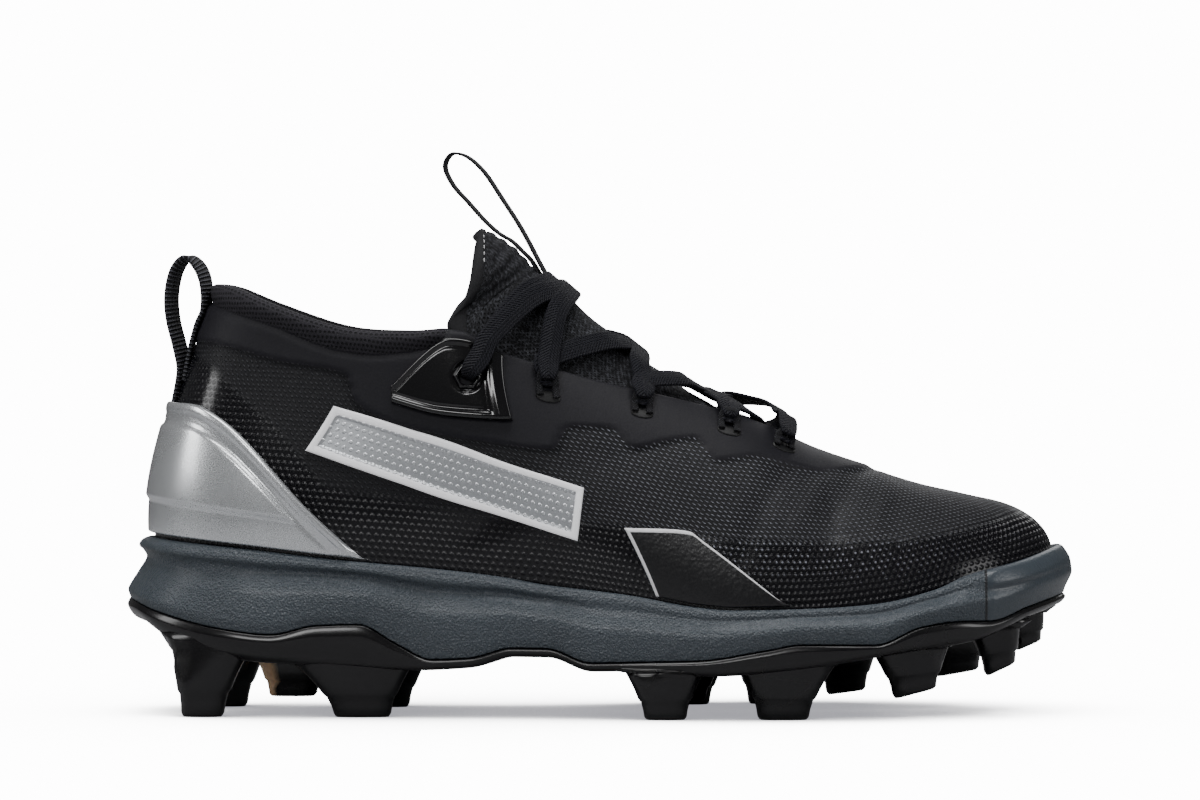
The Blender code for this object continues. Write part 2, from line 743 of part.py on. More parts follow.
def tongue_grid():
    """Outer points and outward normals of the tongue, hoop by hoop."""
    count = (len(HOOPS) + len(FREE_HOOPS) - 1) * HOOPS_PER_ROW + 1
    grid = np.array([hoop(k / HOOPS_PER_ROW) for k in range(count)])
    normals = grid_normals(grid)
    middle = normals[count // 2, HOOP_POINTS - 1]
    return grid, normals if middle[2] > 0 else -normals


TONGUE_GRID, TONGUE_NORMALS = tongue_grid()


def make_tongue():
    """Padded arch from under the vamp up past the collar."""
    bm = bmesh.new()
    slab(bm, TONGUE_GRID, TONGUE_GRID - TONGUE_NORMALS * TONGUE_THICKNESS)
    return make_object("tongue", bm, (0.03, 0.03, 0.035), 0.8)




# Side-view edges of the overlays: x of LENGTH, z of COLLAR_HEIGHT.
COUNTER_EDGE = (
    # x, z of the heel counter's upper edge
    (-0.455, 0.727),
    (-0.425, 0.724),
    (-0.397, 0.694),
    (-0.301, 0.476),
    (-0.240, 0.355),
)
LACE_PLATE_LOW = (
    # x, z
    (-0.228, 0.737),
    (-0.165, 0.700),
    (-0.103, 0.687),
)
LACE_PLATE_HIGH = (
    # x, z
    (-0.228, 0.750),
    (-0.150, 0.883),
    (-0.125, 0.878),
    (-0.096, 0.862),
)
SIDE_BAR_LOW = (
    # x, z
    (-0.330, 0.640),
    (0.020, 0.385),
)
SIDE_BAR_HEIGHT = 0.118
FOREFOOT_PATCH_EDGE = (
    # x, z
    (0.037, 0.439),
    (0.083, 0.436),
    (0.102, 0.431),
    (0.112, 0.415),
    (0.200, 0.262),
)

# Where the overlays start and end round the shoe, in rows of SECTIONS from the heel.
COUNTER_FRONT = 3.4
LACE_PLATE_ROWS = (3.75, 5.85)
SIDE_BAR_ROWS = (2.75, 6.35)
SIDE_BAR_SLANT = 0.30
FOREFOOT_PATCH_ROWS = (6.94, 9.2)
FOREFOOT_PATCH_SLANT = -0.22
ABOVE_LIP = 0.016
LEAST_WIDTH = 0.012
PATCH_COLUMNS_PER_ROW = 4

# The webbing eyelet loops of each side, from the front plate forward: the section row each sits
# on, its height up the wall and half the way between its legs, in rows.
EYELETS = (
    # row, slit h, top h, half spread, hoop of the tongue, lace stand-off, share of the tongue
    (6.40, 0.845, 0.940, 0.085, 5.60, 0.020, 0.46),
    (7.45, 0.855, 0.940, 0.090, 4.55, 0.020, 0.46),
    (8.60, 0.850, 0.935, 0.110, 3.40, 0.022, 0.40),
    (9.42, 0.840, 0.905, 0.110, 2.20, 0.040, 0.22),
)
PLATE_ANCHOR = (5.08, 0.83)
PLATE_HOOP = 6.75
TOP_BAR_HOOP = 6.60


def overlay(bm, places, low, high, steps, lift, thickness, slant=0.0):
    """A patch that follows the upper's own surface between two edges, given as h for each c."""
    outer = []
    inner = []
    for k in range(steps + 1):
        t = k / steps
        outer_row = []
        inner_row = []
        for c in places:
            h = low(c) + (high(c) - low(c)) * t
            at = c + slant * (t - 0.5)
            outer_row.append(wall(at, h, lift + thickness))
            inner_row.append(wall(at, h, lift))
        outer.append(outer_row)
        inner.append(inner_row)
    slab(bm, outer, inner)


def places_between(first, last, side):
    """Ring places from one section row to another on the lateral or medial side."""
    count = max(2, round((last - first) * PATCH_COLUMNS_PER_ROW))
    rows = [first + (last - first) * k / count for k in range(count + 1)]
    return rows if side < 0 else [RING - c for c in rows]


def above_lip(c):
    """Just above the midsole's lip."""
    return height_at_edge(c, LIP_EDGE, SOLE_HEIGHT) + ABOVE_LIP


def make_heel_counter():
    """Moulded shell round the heel, from the midsole up, with slanted front edges."""
    bm = bmesh.new()
    count = round(COUNTER_FRONT * PATCH_COLUMNS_PER_ROW)
    places = [COUNTER_FRONT * k / count for k in range(-count, count + 1)]

    def top(c):
        edge = height_at_edge(c, COUNTER_EDGE, COLLAR_HEIGHT)
        return max(edge, above_lip(c) + LEAST_WIDTH)

    overlay(bm, places, above_lip, top, 4, GAP, COUNTER_THICKNESS)
    return make_object("heel_counter", bm, (0.45, 0.47, 0.49), 0.3, 0.8)


def make_lace_plate(side, name):
    """Moulded wing beside the collar's front, with the hole that takes the top of the lace."""
    bm = bmesh.new()
    places = places_between(*LACE_PLATE_ROWS, side)

    def low(c):
        return height_at_edge(c, LACE_PLATE_LOW, COLLAR_HEIGHT)

    def high(c):
        edge = height_at_edge(c, LACE_PLATE_HIGH, COLLAR_HEIGHT)
        return min(max(edge, low(c) + LEAST_WIDTH), 0.985)

    lift = EYESTAY_STEP + GAP
    overlay(bm, places, low, high, 3, lift, LACE_PLATE_THICKNESS)
    plate = make_object(name, bm, (0.02, 0.02, 0.022), 0.25)
    c, h = PLATE_ANCHOR
    c = c if side < 0 else RING - c
    normal = Vector(wall_normal(c, h))
    cutter_bm = bmesh.new()
    bmesh.ops.create_cone(cutter_bm, cap_ends=True, segments=12, radius1=EYELET_HOLE / 2,
                          radius2=EYELET_HOLE / 2, depth=6 * LACE_PLATE_THICKNESS)
    turn = Vector((0, 0, 1)).rotation_difference(normal).to_matrix().to_4x4()
    cutter_bm.transform(turn)
    bmesh.ops.translate(cutter_bm, verts=cutter_bm.verts, vec=Vector(wall(c, h, lift)))
    cutter = make_object(f"{name}_hole", cutter_bm, (0.1, 0.1, 0.1), 0.5)
    cutter.hide_render = True
    cutter.display_type = "WIRE"
    cut = plate.modifiers.new("lace hole", "BOOLEAN")
    cut.operation = "DIFFERENCE"
    cut.object = cutter
    return plate


def make_side_bar(side, name):
    """Plain slanted bar raised on the side of the upper."""
    bm = bmesh.new()
    places = places_between(*SIDE_BAR_ROWS, side)
    raised = tuple((x, z + SIDE_BAR_HEIGHT) for x, z in SIDE_BAR_LOW)

    def low(c):
        return height_at_edge(c, SIDE_BAR_LOW, COLLAR_HEIGHT)

    def high(c):
        return height_at_edge(c, raised, COLLAR_HEIGHT)

    slant = SIDE_BAR_SLANT if side < 0 else -SIDE_BAR_SLANT
    overlay(bm, places, low, high, 2, GAP, BAR_THICKNESS, slant)
    return make_object(name, bm, (0.50, 0.52, 0.55), 0.4)


def make_forefoot_patch(side, name):
    """Leather-like wrap above the midsole, beside the ball of the foot."""
    bm = bmesh.new()
    places = places_between(*FOREFOOT_PATCH_ROWS, side)

    def high(c):
        edge = height_at_edge(c, FOREFOOT_PATCH_EDGE, COLLAR_HEIGHT)
        return max(edge, above_lip(c) + LEAST_WIDTH)

    slant = FOREFOOT_PATCH_SLANT if side < 0 else -FOREFOOT_PATCH_SLANT
    overlay(bm, places, above_lip, high, 3, GAP, PATCH_THICKNESS, slant)
    return make_object(name, bm, (0.04, 0.05, 0.06), 0.45)


def sweep(bm, path, normals, width, thickness):
    """A flat strap along a path, its broad face turned to the normals."""
    path = np.array(path)
    normals = np.array(normals)
    along = np.gradient(path, axis=0)
    side = np.cross(along, normals)
    side /= np.linalg.norm(side, axis=1, keepdims=True)
    face = np.cross(side, along)
    face /= np.linalg.norm(face, axis=1, keepdims=True)
    rings = []
    for point, across, out in zip(path, side, face):
        corners = [point + across * sign_a * width / 2 + out * sign_b * thickness / 2
                   for sign_a, sign_b in ((-1, -1), (1, -1), (1, 1), (-1, 1))]
        rings.append(new_verts(bm, corners))
    for a, b in zip(rings, rings[1:]):
        bridge(bm, a, b)
    bm.faces.new(rings[0])
    bm.faces.new(rings[-1])


def make_eyelet_loop(side, number):
    """Two legs of webbing out of a slit, joined in an arch that takes the lace."""
    row, h_slit, h_top, spread, _, _, _ = EYELETS[number]
    centre = row if side < 0 else RING - row
    lift = EYESTAY_STEP + 2 * GAP + EYELET_WEBBING_THICKNESS / 2
    turns = [(-1.0, 0.0), (-1.0, 0.5), (-0.95, 0.8), (-0.6, 0.96), (0.0, 1.0),
             (0.6, 0.96), (0.95, 0.8), (1.0, 0.5), (1.0, 0.0)]
    path = []
    normals = []
    for across, up in turns:
        c = centre + across * spread
        h = h_slit + (h_top - h_slit) * up
        path.append(wall(c, h, lift))
        normals.append(wall_normal(c, h))
    bm = bmesh.new()
    sweep(bm, path, normals, EYELET_WEBBING_WIDTH, EYELET_WEBBING_THICKNESS)
    word = "lateral" if side < 0 else "medial"
    return make_object(f"eyelet_loop_{word}_{number + 1}", bm, (0.05, 0.05, 0.055), 0.7)


# The lace's way over the tongue: how many points it has there and how far it stands off.
LACE_CROSSING_POINTS = 5
LACE_OVER_EDGE = 0.0056
LACE_OVER_TONGUE = 0.0012
LACE_LOOSE = 0.0068
LACE_OVER_PLATE = 0.0046
PLATE_SHARE = 0.46
LACE_LAYER = 0.0003
LACE_NARROWING = 0.06
CROSSING_START = 0.15
PLATE_EDGE_STEP = 0.48
RIM_STEP = 0.03


def tongue_at(a, share):
    """Point and normal on the tongue's outer face, share -1 to 1 from lateral to medial edge."""
    row = a * HOOPS_PER_ROW
    column = (share + 1) * (HOOP_POINTS - 1)
    i = int(min(max(math.floor(row), 0), len(TONGUE_GRID) - 2))
    j = int(min(max(math.floor(column), 0), 2 * HOOP_POINTS - 3))
    u = row - i
    v = column - j
    mixed = []
    for grid in (TONGUE_GRID, TONGUE_NORMALS):
        low = grid[i, j] * (1 - v) + grid[i, j + 1] * v
        high = grid[i + 1, j] * (1 - v) + grid[i + 1, j + 1] * v
        mixed.append(low * (1 - u) + high * u)
    return mixed[0], mixed[1] / np.linalg.norm(mixed[1])


def lace_end(number, side):
    """How the lace leaves an eyelet: points and normals outside the throat, place on the tongue."""
    half = LACE_THICKNESS / 2
    if number < 0:
        row, h = PLATE_ANCHOR
        hoop_place = PLATE_HOOP
        share = PLATE_SHARE
        lift = EYESTAY_STEP + 3 * GAP + LACE_PLATE_THICKNESS + half
        places = ((row, h, lift),
                  (row + PLATE_EDGE_STEP / 2, (h + 1) / 2, lift + 2 * GAP))
        edge_row = row + PLATE_EDGE_STEP
        over = LACE_OVER_PLATE
    else:
        row, _, h_top, _, hoop_place, stand_off, share = EYELETS[number]
        lift = EYESTAY_STEP + 5 * GAP + EYELET_WEBBING_THICKNESS + half
        places = ((row, h_top, lift),)
        edge_row = row
        over = stand_off * BALL_WIDTH
    points = []
    normals = []
    for row, h, rise in places:
        c = row if side < 0 else RING - row
        points.append(wall(c, h, rise))
        normals.append(wall_normal(c, h))
    c = edge_row if side < 0 else RING - edge_row
    along = wall(c, 1.0) - wall(c, 1 - RIM_STEP)
    along = along / np.linalg.norm(along)
    normal = wall_normal(c, 1 - RIM_STEP)
    points.append(wall(c, 1.0) + along * (RIM_ROUND + half + 4 * GAP) + normal * over)
    normals.append(normal)
    return points, normals, hoop_place, share


def strap_path(first, last, hoops=None):
    """Points and normals of one strap from a lateral eyelet over the tongue to a medial one."""
    path, normals, a_first, share_first = lace_end(first, -1)
    end_path, end_normals, a_last, share_last = lace_end(last, 1)
    if hoops is not None:
        a_first, a_last = hoops
    loose = LACE_LOOSE if first == len(EYELETS) - 1 else 0.0
    for k in range(1, LACE_CROSSING_POINTS + 1):
        t = k / (LACE_CROSSING_POINTS + 1)
        share = -share_first + (share_first + share_last) * t
        near = abs(2 * t - 1) ** 2
        stand_off = (LACE_OVER_TONGUE + loose) * (1 - near) + LACE_OVER_EDGE * near
        along = CROSSING_START + (1 - 2 * CROSSING_START) * t
        place = a_first + (a_last - a_first) * along
        point, normal = tongue_at(place, share)
        path.append(point + normal * (stand_off + LACE_THICKNESS / 2))
        normals.append(normal)
    return path + end_path[::-1], normals + end_normals[::-1]


def make_lace():
    """The crossings over the tongue, joined where they cross and at each eyelet."""
    pairs = [(-1, -1, (TOP_BAR_HOOP, TOP_BAR_HOOP))]
    for number in range(-1, len(EYELETS) - 1):
        pairs.append((number, number + 1, None))
        pairs.append((number + 1, number, None))
    straps = []
    for index, (first, last, hoops) in enumerate(pairs):
        bm = bmesh.new()
        path, normals = strap_path(first, last, hoops)
        layer = index % 3
        path = [point + normal * layer * LACE_LAYER for point, normal in zip(path, normals)]
        sweep(bm, path, normals, LACE_WIDTH * (1 - LACE_NARROWING * layer), LACE_THICKNESS)
        name = "lace" if index == 0 else f"lace_strap_{index}"
        straps.append(make_object(name, bm, (0.01, 0.01, 0.016), 0.8))
    for index, strap in enumerate(straps[1:]):
        strap.hide_render = True
        strap.display_type = "WIRE"
        join = straps[0].modifiers.new(f"strap {index}", "BOOLEAN")
        join.operation = "UNION"
        join.use_self = True
        join.object = strap
    return straps[0]


# The pull loops, side view. The tongue's ribbon: x of LENGTH, z of COLLAR_HEIGHT.
TONGUE_LOOP = (
    # x, z
    (-0.0610, 1.0440), (-0.0823, 1.1326), (-0.1047, 1.2104), (-0.1217, 1.2667),
    (-0.1387, 1.3022), (-0.1540, 1.3126), (-0.1620, 1.2970), (-0.1630, 1.2719),
    (-0.1540, 1.2341), (-0.1387, 1.1963), (-0.1217, 1.1541), (-0.1067, 1.1245),
    (-0.0930, 1.1060), (-0.0823, 1.0830), (-0.0710, 1.0560),
)
# The heel's webbing: h up the heel and how far it stands off the wall, a share of COLLAR_HEIGHT.
HEEL_LOOP_OUTER = ((0.62, 0.029), (0.70, 0.031), (0.78, 0.044), (0.86, 0.064))
HEEL_LOOP_INNER = ((0.95, 0.020), (0.86, 0.0155), (0.78, 0.0145), (0.70, 0.0145), (0.62, 0.0145))
HEEL_LOOP_TOP = (
    # x of LENGTH, z of COLLAR_HEIGHT
    (-0.4535, 0.9700), (-0.4490, 1.0300), (-0.4365, 1.0660), (-0.4245, 1.0500),
    (-0.4190, 1.0100),
)
HEEL_LOOP_TURN = math.radians(20)


def make_tongue_loop():
    """Thin ribbon that stands up from the tongue's front."""
    path = [np.array((x * LENGTH, 0.0, z * COLLAR_HEIGHT)) for x, z in TONGUE_LOOP]
    along = np.gradient(np.array(path), axis=0)
    normals = np.cross(along, (0.0, 1.0, 0.0))
    bm = bmesh.new()
    sweep(bm, path, normals, TONGUE_RIBBON_WIDTH, TONGUE_RIBBON_THICKNESS)
    return make_object("tongue_loop", bm, (0.02, 0.02, 0.025), 0.8)


def make_heel_loop():
    """Webbing pull loop at the back of the collar."""
    path = [wall(0.0, h, share * COLLAR_HEIGHT) for h, share in HEEL_LOOP_OUTER]
    path += [np.array((x * LENGTH, 0.0, z * COLLAR_HEIGHT)) for x, z in HEEL_LOOP_TOP]
    path += [wall(0.0, h, share * COLLAR_HEIGHT) for h, share in HEEL_LOOP_INNER]
    turns = HEEL_LOOP_TURN * np.sin(np.linspace(0, math.pi, len(path)))
    across = np.stack((np.sin(turns), np.cos(turns), np.zeros(len(path))), axis=1)
    normals = np.cross(np.gradient(np.array(path), axis=0), across)
    bm = bmesh.new()
    sweep(bm, path, normals, HEEL_WEBBING_WIDTH, HEEL_WEBBING_THICKNESS)
    return make_object("heel_loop", bm, (0.02, 0.02, 0.025), 0.8)


def clear_scene():
    """Empty the scene before the shoe is made."""
    for piece in list(bpy.data.objects):
        bpy.data.objects.remove(piece, do_unlink=True)


def main():
    """Make every piece of the shoe."""
    clear_scene()
    make_upper()
    make_midsole()
    make_insole()
    make_outsole()
    make_tongue()
    make_heel_counter()
    for side, word in ((-1, "lateral"), (1, "medial")):
        make_lace_plate(side, f"lace_plate_{word}")
        make_side_bar(side, f"side_bar_{word}")
        make_forefoot_patch(side, f"forefoot_patch_{word}")
        for number in range(len(EYELETS)):
            make_eyelet_loop(side, number)
    make_lace()
    make_tongue_loop()
    make_heel_loop()


main()
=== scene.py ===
"""Baseball cleat, right shoe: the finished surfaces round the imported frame.

X runs forward to the toe, -Y is the lateral side, +Z is up, all in metres.
Run as a script: it loads the frame, makes each piece with its operator and then finishes.
"""

import math

import bmesh
import bpy
import numpy as np
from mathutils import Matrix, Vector


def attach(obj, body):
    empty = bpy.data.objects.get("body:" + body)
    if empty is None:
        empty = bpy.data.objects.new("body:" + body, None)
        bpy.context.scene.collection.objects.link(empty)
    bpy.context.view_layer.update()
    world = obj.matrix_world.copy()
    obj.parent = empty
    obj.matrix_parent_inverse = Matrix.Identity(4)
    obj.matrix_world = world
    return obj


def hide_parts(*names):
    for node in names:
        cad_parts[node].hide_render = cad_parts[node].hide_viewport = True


bl_info = {
    "name": "Baseball cleat",
    "version": (1, 0, 0),
    "blender": (4, 5, 0),
    "location": "View3D > Sidebar > Cleat",
    "description": "Makes the surfaces, laces and studio of a lugged baseball cleat",
    "category": "Object",
}

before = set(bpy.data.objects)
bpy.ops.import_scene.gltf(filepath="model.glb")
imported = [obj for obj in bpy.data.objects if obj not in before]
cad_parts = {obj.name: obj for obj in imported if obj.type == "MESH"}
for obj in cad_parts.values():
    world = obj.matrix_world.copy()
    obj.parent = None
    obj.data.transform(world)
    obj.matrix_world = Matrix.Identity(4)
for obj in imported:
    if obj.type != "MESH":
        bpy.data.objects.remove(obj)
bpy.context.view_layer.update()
MM = 0.001

# The photograph's camera: how far it stands from the shoe, its height, lens and downward tilt.
CAMERA_DISTANCE = 2.2
CAMERA_HEIGHT = 0.14
CAMERA_LENS = 207.7
CAMERA_TILT = math.radians(1.071)

# Directions: straight up, and everything but up.
UP = np.array((0.0, 0.0, 1.0))
LEVEL = np.array((1.0, 1.0, 0.0))
UP_VECTOR = Vector((0.0, 0.0, 1.0))

# Points of one piece that are nearer than this are made one, in metres.
WELD = 2e-5
RING_WELD = 1e-6
PATCH_WELD = 3e-5
TINY = 1e-9

# The counter and patches run out to this h at their thin ends.
THIN_END = 0.0012

# The tongue ribbon stands turned a little to the camera.
RIBBON_TURN = math.radians(10)

# How bright the ground and backdrop look to the camera, and the painted glow that brightens the
# side bar's white rim.
WHITE_GLOW = 14.0
WHITE_RIM_GLOW = 0.35

# The floor's shade under the shoe: how far its two soft shadows reach, and how deep they are.
SHADE_REACH = 0.16
CLOSE_SHADE_REACH = 0.03
SHADE_POWER = 2.4

# The studio's lights: name, place, width, height and watts. They all aim at the shoe's middle.
LIGHTS = (
    ("top", (0.0, -0.2, 1.5), 1.1, 0.7, 16.0),
    ("front", (-0.5, -1.6, 1.1), 1.0, 0.3, 10.0),
    ("right", (1.4, -0.5, 0.7), 0.4, 0.9, 5.0),
    ("left", (-1.4, -0.2, 0.8), 0.4, 0.9, 6.0),
    ("back", (0.2, 1.5, 0.9), 1.4, 0.7, 6.0),
)
LIGHTS_AIM = (0.0, 0.0, 0.07)
FLOOR_SIZE = 6.0
WORLD_COLOUR = (0.97, 0.975, 0.98, 1.0)
WORLD_STRENGTH = 0.10

# Cells, threads and ribs of the cloths and films, in metres.
MESH_DASH = (0.0018, 0.0015)
FILM_DOT = 0.00205
ROLL_CELL = 0.0016
TONGUE_CELL = 0.0013
TONGUE_RIB = 0.0085
INSOLE_THREAD = 0.0012
EYELET_THREAD = 0.0009
RIBBON_THREAD = 0.0007
BAR_DOT = 0.0023
LACE_PLAIT = 0.0011
LACE_RIB = 0.0010
HEEL_RIB = 0.0013
HEEL_THREAD = 0.0022

# A moulded patch's rounded edge: places across it, and the length of a ring row, in metres.
EDGE_STEPS = np.array((0.0, 0.0002, 0.0005, 0.0009, 0.0014, 0.0020))
ROW_LENGTH = 0.0215

# The upper, a row for each section from the heel centre to the toe centre. The foot columns are
# the line where the upper meets the sole, the top columns are the collar edge, then the throat
# edge, then the ridge over the toes. x is a share of LENGTH, y of BALL_WIDTH, foot z of
# SOLE_HEIGHT, top z of COLLAR_HEIGHT. The bow columns are the handles of the curve between the
# two, outward and up from the foot, outward and down from the top, as shares of BALL_WIDTH.
SECTIONS = (
    # foot x, lateral, medial, foot z, top x, lateral, medial, top z, out, up, out, down
    (-0.4617, 0.000, 0.000, 0.880, -0.4050, 0.000, 0.000, 0.992, 0.102, 0.222, 0.060, 0.150),
    (-0.4370, -0.165, 0.165, 0.880, -0.3850, -0.140, 0.140, 0.984, 0.095, 0.222, 0.045, 0.160),
    (-0.3733, -0.280, 0.270, 0.860, -0.3400, -0.232, 0.232, 0.942, 0.080, 0.230, 0.020, 0.260),
    (-0.2800, -0.306, 0.280, 0.820, -0.2680, -0.275, 0.275, 0.890, 0.070, 0.220, 0.018, 0.260),
    (-0.1867, -0.315, 0.262, 0.780, -0.2030, -0.292, 0.290, 0.880, 0.058, 0.204, 0.030, 0.240),
    (-0.1067, -0.333, 0.252, 0.740, -0.1450, -0.290, 0.285, 0.884, 0.048, 0.240, 0.055, 0.220),
    (-0.0267, -0.361, 0.272, 0.700, -0.0930, -0.262, 0.256, 0.832, 0.048, 0.240, 0.092, 0.170),
    (0.0567, -0.398, 0.330, 0.620, 0.0040, -0.226, 0.222, 0.770, 0.046, 0.222, 0.120, 0.111),
    (0.1333, -0.432, 0.385, 0.540, 0.0880, -0.186, 0.184, 0.728, 0.046, 0.204, 0.139, 0.083),
    (0.1933, -0.438, 0.424, 0.520, 0.1600, -0.136, 0.136, 0.683, 0.046, 0.185, 0.157, 0.065),
    (0.2533, -0.425, 0.438, 0.540, 0.2250, 0.000, 0.000, 0.618, 0.046, 0.167, 0.222, 0.023),
    (0.3200, -0.370, 0.412, 0.600, 0.2830, 0.010, 0.010, 0.574, 0.046, 0.148, 0.204, 0.014),
    (0.3850, -0.285, 0.335, 0.700, 0.3320, 0.020, 0.020, 0.540, 0.050, 0.122, 0.186, 0.018),
    (0.4370, -0.150, 0.235, 0.770, 0.3690, 0.028, 0.028, 0.520, 0.064, 0.104, 0.196, 0.020),
    (0.4700, 0.052, 0.052, 0.830, 0.3930, 0.036, 0.036, 0.506, 0.076, 0.098, 0.212, 0.020),
)
ROWS = len(SECTIONS) - 1
RING = 2 * ROWS
COLLAR_FRONT = 5.2
THROAT_END = 10

# The lower edge of the smooth eyestay band, on the side: x of LENGTH, z of COLLAR_HEIGHT.
BAND_EDGE = (
    # x, z
    (-0.415, 0.873),
    (-0.382, 0.856),
    (-0.338, 0.829),
    (-0.265, 0.796),
    (-0.254, 0.730),
    (-0.206, 0.676),
    (-0.125, 0.643),
    (-0.049, 0.623),
    (-0.032, 0.676),
    (0.010, 0.672),
    (0.036, 0.626),
    (0.068, 0.640),
    (0.100, 0.648),
    (0.122, 0.596),
    (0.162, 0.606),
    (0.200, 0.582),
    (0.235, 0.566),
    (0.270, 0.572),
)

# The sole's edges seen from the side: x of LENGTH, z of SOLE_HEIGHT.
LIP_EDGE = (
    # x, z of the midsole's upper edge
    (-0.500, 1.130),
    (-0.450, 1.100),
    (-0.371, 1.056),
    (-0.271, 0.988),
    (-0.176, 0.936),
    (-0.104, 0.886),
    (-0.056, 0.836),
    (0.029, 0.776),
    (0.101, 0.702),
    (0.136, 0.684),
    (0.220, 0.694),
    (0.286, 0.720),
    (0.347, 0.800),
    (0.383, 0.882),
    (0.430, 0.932),
    (0.478, 1.018),
)
JOIN_EDGE = (
    # x, z where the midsole meets the outsole
    (-0.500, 0.734),
    (-0.469, 0.666),
    (-0.393, 0.560),
    (-0.344, 0.530),
    (-0.297, 0.586),
    (-0.252, 0.594),
    (-0.212, 0.472),
    (-0.175, 0.374),
    (-0.137, 0.384),
    (-0.092, 0.448),
    (-0.055, 0.446),
    (-0.010, 0.360),
    (0.041, 0.368),
    (0.101, 0.378),
    (0.172, 0.444),
    (0.209, 0.480),
    (0.286, 0.476),
    (0.336, 0.584),
    (0.379, 0.614),
    (0.408, 0.610),
    (0.450, 0.688),
    (0.494, 0.758),
)
UNDER_EDGE = (
    # x, z of the outsole's underside between the lugs
    (-0.487, 0.560),
    (-0.460, 0.454),
    (-0.420, 0.380),
    (-0.340, 0.340),
    (-0.260, 0.320),
    (-0.190, 0.298),
    (-0.137, 0.314),
    (-0.080, 0.396),
    (-0.030, 0.366),
    (0.030, 0.290),
    (0.110, 0.272),
    (0.200, 0.310),
    (0.277, 0.376),
    (0.330, 0.420),
    (0.400, 0.480),
    (0.450, 0.590),
    (0.490, 0.660),
)

# How far the midsole's side stands out from the upper's foot line, a share of BALL_WIDTH for each
# row of SECTIONS: at its middle, at its join with the outsole, and the plate's lower edge.
FLARES = (
    # middle, join, plate bottom
    (0.072, 0.106, 0.040),
    (0.070, 0.097, 0.036),
    (0.066, 0.079, 0.030),
    (0.062, 0.066, 0.028),
    (0.058, 0.056, 0.026),
    (0.056, 0.054, 0.024),
    (0.058, 0.056, 0.024),
    (0.062, 0.060, 0.026),
    (0.064, 0.061, 0.028),
    (0.064, 0.061, 0.028),
    (0.064, 0.061, 0.028),
    (0.068, 0.063, 0.028),
    (0.074, 0.066, 0.028),
    (0.080, 0.066, 0.026),
    (0.084, 0.066, 0.020),
)

# The lugs under the sole: x of LENGTH and y of BALL_WIDTH at the tip, how far the root reaches
# past the tip behind, ahead and to each side, shares of LENGTH, and the tip's z of SOLE_HEIGHT.
LUGS = (
    # tip rear x, tip front x, outer y, inner y, behind, ahead, beside, tip z rear, tip z front
    (-0.438, -0.394, -0.300, -0.190, 0.010, 0.026, 0.010, 0.000, 0.000),
    (-0.278, -0.219, -0.310, -0.200, 0.044, 0.024, 0.010, 0.000, 0.000),
    (0.046, 0.090, -0.440, -0.310, 0.020, 0.018, 0.010, 0.000, 0.000),
    (0.164, 0.217, -0.440, -0.310, 0.020, 0.026, 0.010, 0.000, 0.000),
    (0.306, 0.351, -0.340, -0.220, 0.026, 0.012, 0.008, 0.120, 0.182),
    (0.405, 0.437, -0.180, -0.060, 0.018, 0.004, 0.008, 0.244, 0.318),
    (-0.430, -0.378, 0.290, 0.185, 0.010, 0.024, 0.010, 0.000, 0.000),
    (-0.262, -0.204, 0.262, 0.160, 0.040, 0.022, 0.010, 0.000, 0.000),
    (0.060, 0.118, 0.400, 0.280, 0.020, 0.018, 0.010, 0.000, 0.000),
    (0.160, 0.205, 0.430, 0.310, 0.018, 0.020, 0.010, 0.000, 0.000),
    (0.244, 0.286, 0.410, 0.300, 0.018, 0.014, 0.008, 0.060, 0.090),
    (0.360, 0.406, 0.320, 0.200, 0.018, 0.010, 0.008, 0.190, 0.234),
    (0.440, 0.468, 0.110, -0.010, 0.012, 0.002, 0.006, 0.384, 0.442),
    (-0.350, -0.300, 0.070, -0.070, 0.014, 0.014, 0.008, 0.100, 0.100),
    (0.070, 0.112, 0.060, -0.080, 0.014, 0.014, 0.008, 0.070, 0.070),
    (0.190, 0.230, 0.080, -0.060, 0.014, 0.014, 0.008, 0.100, 0.120),
    (0.300, 0.336, 0.090, -0.030, 0.012, 0.010, 0.008, 0.240, 0.270),
)
LUG_CORNER = 0.22
LUG_ROOT = 0.0016

# The tongue inside the throat, a row for each hoop from its tip to the collar: the section row
# whose wall its wings follow, the wings' span of h, and the ridge, x of LENGTH, z of
# COLLAR_HEIGHT.
HOOPS = (
    # section, h low, h top, ridge x, ridge z
    (10.40, 0.66, 0.76, 0.238, 0.566),
    (10.00, 0.68, 0.80, 0.218, 0.588),
    (9.50, 0.72, 0.88, 0.193, 0.622),
    (9.00, 0.75, 0.95, 0.163, 0.660),
    (8.00, 0.78, 1.00, 0.103, 0.742),
    (7.00, 0.80, 1.00, 0.040, 0.838),
    (6.00, 0.82, 1.00, -0.030, 0.968),
    (5.20, 0.86, 1.00, -0.063, 1.030),
)

# The tongue above the collar: edge x and ridge x of LENGTH, edge y of BALL_WIDTH, z of
# COLLAR_HEIGHT.
FREE_HOOPS = (
    # edge x, edge y, edge z, ridge x, ridge z
    (-0.161, 0.226, 0.910, -0.074, 1.052),
    (-0.143, 0.226, 0.966, -0.088, 1.086),
    (-0.137, 0.206, 1.030, -0.104, 1.112),
    (-0.134, 0.156, 1.092, -0.118, 1.130),
    (-0.131, 0.100, 1.126, -0.127, 1.138),
)
HOOP_POINTS = 7
HOOPS_PER_ROW = 2
FREE_SLOPE = (0.80, 0.05, 0.60)

